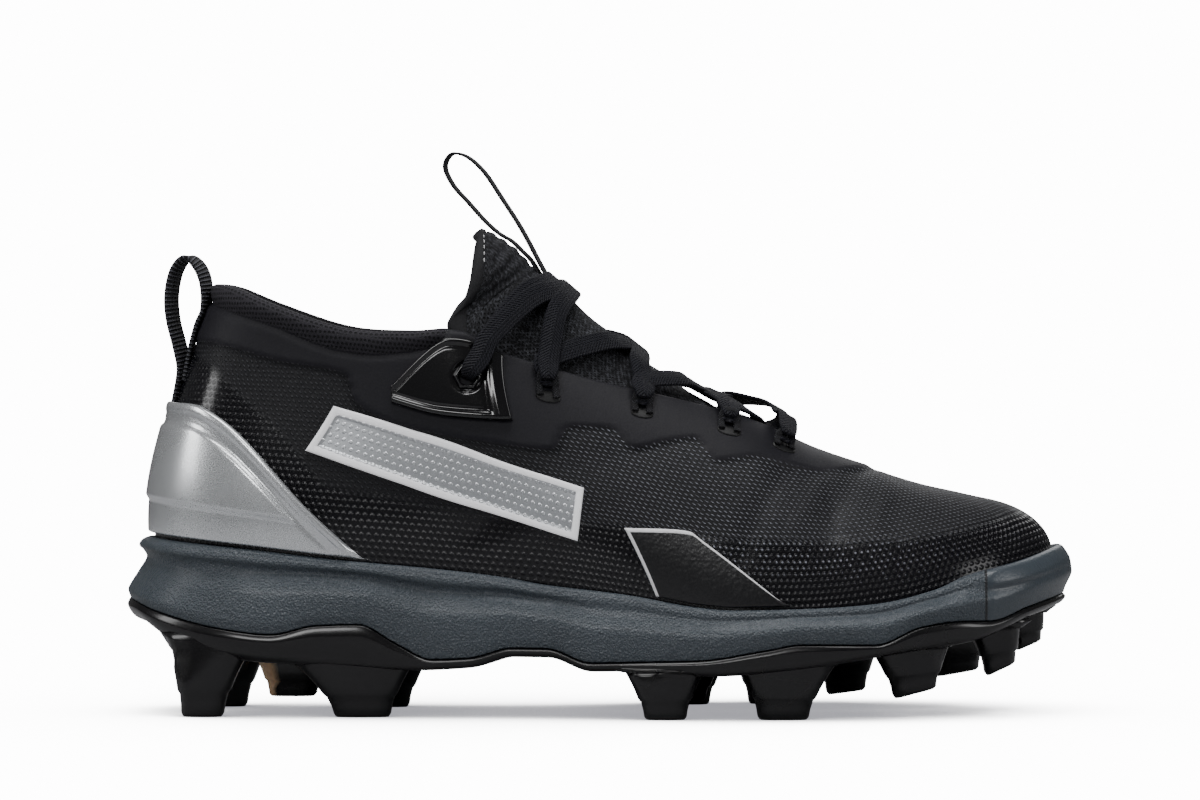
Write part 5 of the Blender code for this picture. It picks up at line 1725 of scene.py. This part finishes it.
def make_heel_counter():
    """The silver moulded counter: bright rim, sunk field and raised facet."""
    s = sizes()
    tint = colours()

    def relief(base, to):
        """Rim, valley and raised panel of the counter's face."""
        down = to["high"]
        rim = COUNTER_RIM * (1 - ease((down - COUNTER_RIM_WIDTH) / 0.0010))
        x = base[..., 0] / s.length
        z = base[..., 2] / s.collar_height
        above = z - PANEL_Z - (x - PANEL_X) * PANEL_SLOPE
        panel = ease(above / 0.010) * (1 - 0.45 * ease(above / 0.22))
        panel = panel * ease((down - COUNTER_VALLEY - 0.0006) / 0.0014)
        valley = -0.0003 * np.exp(-((down - COUNTER_VALLEY) / 0.0012) ** 2)
        return rim + COUNTER_PANEL * panel + valley + 0.0002

    places = crowded(-COUNTER_FRONT, COUNTER_FRONT, COUNTER_COLUMNS)
    bm = patch(places, above_lip, over_lip(COUNTER_EDGE), s.gap, s.counter, 0.0010, rows=46,
               relief=relief)
    finish = Finish("counter", tint.counter, 0.24, metallic=0.74, coat=0.5,
                    coat_roughness=0.06)
    place = finish.place()
    cloudy = finish.noise(place, 30.0, 3.0)
    flake = finish.noise(place, 2600.0, 2.0)
    finish.set("Roughness", cloudy * 0.10 + flake * 0.05 + 0.20)
    finish.set("Normal", finish.bump(flake, 0.00006, 0.35))
    return finished("counter_shell", bm, "counter_plastic", finish.material, "heel_counter")


def plate_boss(centre, normal):
    """The raised ring round a lace plate's hole, round inside and six-sided outside."""
    radius = sizes().eyelet_hole / 2
    turn = np.array(UP_VECTOR.rotation_difference(Vector(normal)).to_matrix())
    angle = np.arange(BOSS_STEPS) * 2 * math.pi / BOSS_STEPS
    six = math.cos(math.pi / 6) / np.cos(angle % (math.pi / 3) - math.pi / 6)
    rings = []
    for out, height in BOSS_PROFILE:
        size = (radius + out) * (1 + (six - 1) * min(out / 0.0012, 1.0))
        flat = np.stack((size * np.cos(angle), size * np.sin(angle),
                         np.full(BOSS_STEPS, height)), axis=1)
        rings.append(centre + flat @ turn.T)
    boss = sheet_mesh(np.array(rings), ring=True)
    bmesh.ops.recalc_face_normals(boss, faces=boss.faces)
    return boss


def make_lace_plate(side, name):
    """The glossy wing with its groove, hexagon boss and lace hole."""
    s = sizes()
    tint = colours()
    low = along_edge(LACE_PLATE_LOW)

    def high(c):
        """The wing's upper edge, at least a little above the lower one."""
        found = along_edge(LACE_PLATE_HIGH)(c)
        return np.minimum(np.maximum(found, low(c) + LEAST_WIDTH), WING_TOP)

    lift = s.eyestay_step + s.gap
    c = np.array([on_side(PLATE_ANCHOR[0], side)])
    h = np.array([PLATE_ANCHOR[1]])
    centre = wall(c, h, lift)[0]
    normal = wall_normal(c, h)[0]

    def relief(base, to):
        """Groove, sunk field and flange of the wing's face."""
        front = to["right"] if side < 0 else to["left"]
        inside = np.minimum(np.minimum(front - WING_FLANGE, to["low"]), to["high"])
        past = (inside - WING_GROOVE) / WING_GROOVE_WIDTH
        groove = -0.0006 * np.exp(-past ** 2)
        field = -WING_FIELD_DEPTH * ease(past)
        near = np.linalg.norm(base - centre, axis=2)
        flange = WING_FLANGE_RISE * (1 - ease((front - WING_FLANGE) / 0.0010))
        dish = -WING_DISH_DEPTH * (1 - ease((near - WING_DISH) / 0.0008))
        return groove + field + flange + dish

    bm = patch(side_places(*LACE_PLATE_ROWS, side, 0.0007), low, high, lift,
               s.lace_plate, 0.0008, rows=40, relief=relief)
    hole = s.eyelet_hole / 2 + 0.0009
    doomed = [face for face in bm.faces
              if (face.calc_center_median() - Vector(centre)).length < hole]
    bmesh.ops.delete(bm, geom=doomed, context="FACES")
    bm = joined(bm, plate_boss(centre, normal))
    finish = Finish(name, tint.plate, 0.14, coat=0.5, coat_roughness=0.06, specular=0.5)
    fine = finish.noise(finish.place(), 900.0, 2.0)
    finish.set("Normal", finish.bump(fine, 0.00004, 0.3))
    return finished(f"{name}_wing", bm, "plate_plastic", finish.material, name)


def make_side_bar(side, name):
    """The plain slanted bar: white rim, with a painted glow, round a dotted silver field."""
    s = sizes()
    tint = colours()
    raised = tuple((x, z + SIDE_BAR_HEIGHT) for x, z in SIDE_BAR_LOW)

    def relief(_, to):
        """The field's depth inside the bar's rim."""
        return -BAR_FIELD_DEPTH * ease((to["edge"] - BAR_RIM) / 0.0006)

    bm = patch(side_places(*SIDE_BAR_ROWS, side, 0.0010), along_edge(SIDE_BAR_LOW),
               along_edge(raised), s.gap, s.bar, 0.0006, -side * SIDE_BAR_SLANT, 18, relief)
    finish = Finish(name, tint.bar, 0.35, specular=0.5)
    u, v, _ = finish.parts(finish.cloth())
    rim = finish.attribute("edge").fading(0.0021, 0.0025)
    dots = finish.grid(u, v, BAR_DOT).fading(0.16, 0.30)
    field = finish.mix(dots * 0.35, tint.bar, (0.86, 0.88, 0.90))
    finish.set("Base Color", finish.mix(rim, field, tint.white))
    finish.set("Metallic", rim.rest() * 0.75)
    finish.set("Roughness", rim * 0.1 + 0.32)
    # Painted light: the white rim glows a little, so it looks brighter than the lamps alone make
    # it.
    finish.set("Emission Color", finish.mix(rim, (0.0, 0.0, 0.0), tint.white))
    finish.set("Emission Strength", WHITE_RIM_GLOW)
    finish.set("Normal", finish.bump(dots * rim.rest(), 0.00025, 0.8))
    return finished(f"{name}_film", bm, "bar_film", finish.material, name)


def make_forefoot_patch(side, name):
    """The leather-like wrap with its white outline."""
    s = sizes()
    tint = colours()
    bm = patch(side_places(*FOREFOOT_PATCH_ROWS, side), above_lip,
               over_lip(FOREFOOT_PATCH_EDGE), s.gap, s.patch, 0.0006,
               -side * FOREFOOT_PATCH_SLANT)
    finish, soft = leather_finish(name, tint.patch, 0.34, 900.0, 0.00018, coat=0.3)
    left = finish.attribute("left")
    right = finish.attribute("right")
    top = finish.attribute("high")
    nearest = left.math("MINIMUM", right).math("MINIMUM", top)
    tall = top + finish.attribute("low")
    rim = (nearest.fading(0.0011, 0.0014)) * tall.between(0.0022, 0.0030)
    finish.set("Base Color", finish.mix(rim, tint.patch, tint.white))
    finish.set("Roughness", soft * 0.12 + 0.28 + rim * 0.1)
    return finished(f"{name}_wrap", bm, "patch_leather", finish.material, name)


def make_eyelet_loop(side, number):
    """Webbing out of a slit in the band, up round the lace and back, with a dark strip of painted
    shade in the slit.
    """
    s = sizes()
    tint = colours()
    row, h_slit, h_top, spread = EYELETS[number][:4]
    centre = on_side(row, side)
    word = "lateral" if side < 0 else "medial"
    name = f"eyelet_loop_{word}_{number + 1}"
    lift = s.eyestay_step + s.gap + s.webbing_thickness / 2
    across, up = np.array(EYELET_TURNS).T
    c = centre + across * spread
    h = h_slit + (h_top - h_slit) * up
    rise = lift + 0.0026 * np.maximum(up - 0.4, 0.0) / 0.6
    path = smooth_path(wall(c, h, rise), 5)
    normals = smooth_path(wall_normal(c, h), 5)
    bm = strap(path, normals, s.webbing_width, s.webbing_thickness)
    finish = weave_finish(name, tint.ribbon, EYELET_THREAD, tint.fleck, 0.8, 0.00015, 0.25)
    piece = finished(f"{name}_webbing", bm, "webbing", finish.material, name)
    # Painted shade: a dark strip along the slit stands in for the shadow in its opening.
    t = np.linspace(-1.0, 1.0, SLIT_POINTS)
    c = centre + 1.5 * t * spread
    h = np.full(SLIT_POINTS, h_slit - 0.004)
    slit = wall(c, h, s.eyestay_step)
    out = wall_normal(c, h)
    swell = 0.0016 * np.sqrt(np.maximum(1 - t ** 2, 0.02)) + 0.0004
    bar = strap(slit, out, swell * 2, 0.0007)
    dark = Finish(f"{name}_slit_shade", [part * 0.4 for part in tint.film], 0.5)
    finished(f"{name}_slit", bar, "webbing", dark.material)
    return piece


# The laces are drawn finer than their points, and those that cross lie in three layers.
LACE_FINER = 7
LAYER_LIFT = 0.0006

# Where the tongue's ribbon comes out of the tongue and goes back in: x of LENGTH, z of
# COLLAR_HEIGHT.
RIBBON_ENDS = ((-0.0440, 0.9800), (-0.0540, 0.9900))


def lace_end(number, side):
    """How the lace leaves an eyelet: points and normals outside the throat, place on the tongue."""
    s = sizes()
    half = s.lace_thickness / 2
    if number < 0:
        row, h = PLATE_ANCHOR
        hoop_place = PLATE_HOOP
        share = PLATE_SHARE
        lift = s.eyestay_step + 3 * s.gap + s.lace_plate + half
        places = ((row, h, lift - 0.0030), (row + 0.05, h + 0.02, lift + 0.0004),
                  (row + PLATE_EDGE_STEP / 2, (h + 1) / 2, lift + 2 * s.gap))
        edge_row = row + PLATE_EDGE_STEP
        over = LACE_OVER_PLATE
    else:
        row, _, h_top, _, hoop_place, stand_off, share = EYELETS[number]
        lift = s.eyestay_step + 5 * s.gap + half
        places = ((row, h_top - 0.03, lift), (row, h_top, lift + 0.0004))
        edge_row = row
        over = stand_off * s.ball_width
    points = []
    normals = []
    for row, h, rise in places:
        c = on_side(row, side)
        points.append(wall(c, h, rise)[0])
        normals.append(wall_normal(np.array([c]), np.array([h]))[0])
    c = on_side(edge_row, side)
    along = unit((wall(c, 1.0) - wall(c, 0.97))[0])
    normal = wall_normal(np.array([c]), np.array([0.98]))[0]
    points.append(wall(c, 1.0)[0] + along * (s.rim_round + half + 4 * s.gap) + normal * over)
    normals.append(normal)
    return points, normals, hoop_place, share


def strap_path(grids, first, last, hoops=None):
    """Points and normals of one strap from a lateral eyelet over the tongue to a medial one."""
    s = sizes()
    path, normals, a_first, share_first = lace_end(first, -1)
    end_path, end_normals, a_last, share_last = lace_end(last, 1)
    if hoops is not None:
        a_first, a_last = hoops
    loose = LACE_LOOSE if first == len(EYELETS) - 1 else 0.0
    for k in range(1, LACE_CROSSING_POINTS + 1):
        t = k / (LACE_CROSSING_POINTS + 1)
        share = -share_first + (share_first + share_last) * t
        near = abs(2 * t - 1) ** 2
        stand_off = (LACE_OVER_TONGUE + loose) * (1 - near) + LACE_OVER_EDGE * near
        place = a_first + (a_last - a_first) * (0.15 + 0.7 * t)
        point, normal = tongue_at(grids, place, share)
        path.append(point + normal * (stand_off + s.lace_thickness / 2))
        normals.append(normal)
    return path + end_path[::-1], normals + end_normals[::-1]


def make_lace():
    """The flat lace: each crossing over the tongue and its turn through the eyelet loops."""
    s = sizes()
    tint = colours()
    grids = tongue_grid()
    pairs = [(-1, -1, (TOP_BAR_HOOP, TOP_BAR_HOOP))]
    for number in range(-1, len(EYELETS) - 1):
        pairs.append((number, number + 1, None))
        pairs.append((number + 1, number, None))
    pieces = []
    for index, (first, last, hoops) in enumerate(pairs):
        path, normals = strap_path(grids, first, last, hoops)
        path = np.array(path) + np.array(normals) * (index % 3) * LAYER_LIFT
        path = smooth_path(path, LACE_FINER)
        normals = smooth_path(normals, LACE_FINER)
        t = np.linspace(0.0, 1.0, len(path))
        near = np.minimum(t, 1 - t) / 0.16
        width = s.lace_width * (0.62 + 0.38 * ease(near))
        pieces.append(strap(path, normals, width, s.lace_thickness))
    for side in (-1, 1):
        for number in range(len(EYELETS)):
            row, _, h_top, spread = EYELETS[number][:4]
            across = np.linspace(-1.0, 1.0, 9)
            c = on_side(row + across * spread * 0.8, side)
            h = h_top - 0.03 + 0.03 * across ** 2
            lift = s.eyestay_step + 5 * s.gap
            pieces.append(strap(wall(c, h, lift), wall_normal(c, h), s.lace_width * 0.55,
                                s.lace_thickness))
    bm = joined(*pieces)
    finish = Finish("lace", tint.lace, 0.72, specular=0.3)
    u, v, _ = finish.parts(finish.cloth())
    plait = finish.wave(u + v.math("ABSOLUTE") * 0.9, LACE_PLAIT)
    rib = finish.wave(v, LACE_RIB)
    fuzz = finish.noise(finish.place(), 1200.0, 2.0)
    finish.set("Base Color", finish.mix(plait.between(0.2, 1.0) * 0.30 + fuzz * 0.1, tint.lace,
                                        [0.014, 0.015, 0.030]))
    finish.set("Normal", finish.bump(plait + rib * 0.4 + fuzz * 0.5, 0.00022, 0.9))
    return finished("lace_straps", bm, "lace_cloth", finish.material, "lace")


def make_tongue_loop():
    """The thin ribbon that stands up from the tongue's front."""
    s = sizes()
    tint = colours()
    points = (RIBBON_ENDS[0], *TONGUE_LOOP, RIBBON_ENDS[1])
    path = np.array([(x * s.length, 0.0, z * s.collar_height) for x, z in points])
    path = smooth_path(path, 6)
    across = (math.sin(RIBBON_TURN), math.cos(RIBBON_TURN), 0.0)
    normals = np.cross(np.gradient(path, axis=0), across)
    bm = strap(path, normals, s.ribbon_width, s.ribbon_thickness)
    finish = weave_finish("tongue_ribbon", tint.ribbon, RIBBON_THREAD, tint.fleck, 0.7, 0.0001, 0.2)
    return finished("tongue_ribbon", bm, "ribbon", finish.material, "tongue_loop")


def make_heel_loop():
    """The ribbed webbing loop at the back of the collar."""
    s = sizes()
    tint = colours()
    path = [(x * s.length, 0.0, z * s.collar_height) for x, z in HEEL_LOOP]
    path = smooth_path(path, 8)
    t = np.linspace(0.0, 1.0, len(path))
    turns = HEEL_LOOP_TURN * ease((1 - t) / 0.45)
    across = np.stack((np.sin(turns), np.cos(turns), np.zeros(len(path))), axis=1)
    normals = np.cross(np.gradient(path, axis=0), across)
    bm = strap(path, normals, s.heel_width, s.heel_thickness)
    finish = Finish("heel_webbing", tint.ribbon, 0.75, specular=0.4)
    u, v, _ = finish.parts(finish.cloth())
    rib = finish.wave(u, HEEL_RIB)
    thread = finish.wave(v, HEEL_THREAD)
    finish.set("Base Color", finish.mix(rib.between(0.3, 1.0) * 0.35, tint.ribbon,
                                        tint.fleck))
    finish.set("Normal", finish.bump(rib + thread * 0.4, 0.0003, 1.0))
    return finished("heel_webbing", bm, "webbing", finish.material, "heel_loop")


def add_light(name, place, width, height, power):
    """A soft rectangular light, aimed at the shoe's middle."""
    data = bpy.data.lights.new(name, "AREA")
    data.shape = "RECTANGLE"
    data.size = width
    data.size_y = height
    data.energy = power
    lamp = linked(name, data)
    lamp.location = place
    aim = Vector(LIGHTS_AIM) - Vector(place)
    lamp.rotation_euler = aim.to_track_quat("-Z", "Y").to_euler()


def camera_only(tree, usual, seen, end):
    """Let the camera see one shader where the rest of the scene gets another."""
    ray = tree.nodes.new("ShaderNodeLightPath")
    mixed = tree.nodes.new("ShaderNodeMixShader")
    tree.links.new(ray.outputs["Is Camera Ray"], mixed.inputs["Fac"])
    tree.links.new(usual, mixed.inputs[1])
    tree.links.new(seen, mixed.inputs[2])
    out = next(node for node in tree.nodes if node.type == end)
    tree.links.new(mixed.outputs[0], out.inputs["Surface"])


def floor_finish(colour):
    """A pale floor that the camera sees near white, with soft shade under the shoe."""
    finish = Finish("floor", colour, 0.6, specular=0.2)
    near, close = (finish.node("ShaderNodeAmbientOcclusion", {"samples": 8},
                               {"Distance": reach}, "AO")
                   for reach in (SHADE_REACH, CLOSE_SHADE_REACH))
    shade = near.between(0.05, 1.0) * 0.6 + close.between(0.0, 1.0) * 0.4
    shade = shade.math("POWER", SHADE_POWER)
    white = finish.mix(shade, (0.03, 0.03, 0.033), (1.0, 1.0, 1.0))
    glow = finish.node("ShaderNodeEmission", None, {"Strength": WHITE_GLOW, "Color": white})
    camera_only(finish.tree, finish.bsdf.outputs[0], glow.socket, "OUTPUT_MATERIAL")
    return finish


def make_world():
    """Weak light from all round, and a white backdrop that only the camera sees."""
    world = bpy.context.scene.world or bpy.data.worlds.new("studio")
    bpy.context.scene.world = world
    world.use_nodes = True
    tree = world.node_tree
    studio = next(node for node in tree.nodes if node.type == "BACKGROUND")
    studio.inputs["Color"].default_value = WORLD_COLOUR
    studio.inputs["Strength"].default_value = WORLD_STRENGTH
    backdrop = tree.nodes.new("ShaderNodeBackground")
    backdrop.inputs["Color"].default_value = (1.0, 1.0, 1.0, 1.0)
    backdrop.inputs["Strength"].default_value = WHITE_GLOW
    camera_only(tree, studio.outputs[0], backdrop.outputs[0], "OUTPUT_WORLD")


def make_camera():
    """The photograph's camera: far off, low and level with the shoe."""
    data = bpy.data.cameras.new("photo")
    data.lens = CAMERA_LENS
    data.sensor_width = 36.0
    data.clip_start = 0.05
    data.clip_end = 50.0
    camera = linked("photo", data)
    camera.location = (0.0, -CAMERA_DISTANCE, CAMERA_HEIGHT)
    camera.rotation_euler = (math.pi / 2 - CAMERA_TILT, 0.0, 0.0)
    bpy.context.scene.camera = camera


def make_stage():
    """Pale floor, soft lights, backdrop and camera."""
    bm = bmesh.new()
    bmesh.ops.create_grid(bm, x_segments=2, y_segments=2, size=FLOOR_SIZE)
    mesh = bpy.data.meshes.new("floor")
    bm.to_mesh(mesh)
    bm.free()
    mesh.materials.append(floor_finish(colours().floor).material)
    linked("floor", mesh)
    for light in LIGHTS:
        add_light(*light)
    make_world()
    make_camera()


class CLEAT_OT_upper(bpy.types.Operator):
    """Make the upper and the insole inside it"""
    bl_idname = "cleat.upper"
    bl_label = "Upper"

    def execute(self, context):
        make_upper()
        make_insole()
        return {"FINISHED"}


class CLEAT_OT_sole(bpy.types.Operator):
    """Make the midsole and the lugged outsole"""
    bl_idname = "cleat.sole"
    bl_label = "Sole"

    def execute(self, context):
        make_midsole()
        make_outsole()
        return {"FINISHED"}


class CLEAT_OT_tongue(bpy.types.Operator):
    """Make the tongue with its binding and stitches"""
    bl_idname = "cleat.tongue"
    bl_label = "Tongue"

    def execute(self, context):
        make_tongue()
        return {"FINISHED"}


class CLEAT_OT_overlays(bpy.types.Operator):
    """Make the heel counter, lace plates, side bars and forefoot patches"""
    bl_idname = "cleat.overlays"
    bl_label = "Overlays"

    def execute(self, context):
        make_heel_counter()
        for side, word in ((-1, "lateral"), (1, "medial")):
            make_lace_plate(side, f"lace_plate_{word}")
            make_side_bar(side, f"side_bar_{word}")
            make_forefoot_patch(side, f"forefoot_patch_{word}")
        return {"FINISHED"}


class CLEAT_OT_eyelets(bpy.types.Operator):
    """Make the webbing eyelet loops on both sides"""
    bl_idname = "cleat.eyelets"
    bl_label = "Eyelet loops"

    def execute(self, context):
        for side in (-1, 1):
            for number in range(len(EYELETS)):
                make_eyelet_loop(side, number)
        return {"FINISHED"}


class CLEAT_OT_lace(bpy.types.Operator):
    """Make the lace over the tongue and through the loops"""
    bl_idname = "cleat.lace"
    bl_label = "Lace"

    def execute(self, context):
        make_lace()
        return {"FINISHED"}


class CLEAT_OT_pulls(bpy.types.Operator):
    """Make the tongue's ribbon and the heel's webbing loop"""
    bl_idname = "cleat.pulls"
    bl_label = "Pull loops"

    def execute(self, context):
        make_tongue_loop()
        make_heel_loop()
        return {"FINISHED"}


class CLEAT_OT_stage(bpy.types.Operator):
    """Make the floor, lights and camera"""
    bl_idname = "cleat.stage"
    bl_label = "Studio"

    def execute(self, context):
        make_stage()
        return {"FINISHED"}


OPERATORS = (CLEAT_OT_upper, CLEAT_OT_sole, CLEAT_OT_tongue, CLEAT_OT_overlays,
             CLEAT_OT_eyelets, CLEAT_OT_lace, CLEAT_OT_pulls, CLEAT_OT_stage)


class CLEAT_PT_panel(bpy.types.Panel):
    """The cleat's pieces, in the 3D view's sidebar"""
    bl_idname = "CLEAT_PT_panel"
    bl_label = "Baseball cleat"
    bl_space_type = "VIEW_3D"
    bl_region_type = "UI"
    bl_category = "Cleat"

    def draw(self, context):
        for operator in OPERATORS:
            self.layout.operator(operator.bl_idname)
        for group in (context.scene.cleat_sizes, context.scene.cleat_colours):
            for name in group.__annotations__:
                self.layout.prop(group, name)


CLASSES = (CleatSizes, CleatColours) + OPERATORS + (CLEAT_PT_panel,)


def register():
    """Register the classes and hang the settings on the scene."""
    for each in CLASSES:
        bpy.utils.register_class(each)
    bpy.types.Scene.cleat_sizes = bpy.props.PointerProperty(type=CleatSizes)
    bpy.types.Scene.cleat_colours = bpy.props.PointerProperty(type=CleatColours)


def unregister():
    """Take the settings and classes away again."""
    del bpy.types.Scene.cleat_colours
    del bpy.types.Scene.cleat_sizes
    for each in reversed(CLASSES):
        bpy.utils.unregister_class(each)


def main():
    """Make every piece."""
    register()
    bpy.ops.cleat.upper()
    bpy.ops.cleat.sole()
    bpy.ops.cleat.tongue()
    bpy.ops.cleat.overlays()
    bpy.ops.cleat.eyelets()
    bpy.ops.cleat.lace()
    bpy.ops.cleat.pulls()
    bpy.ops.cleat.stage()


if __name__ == "__main__":
    main()
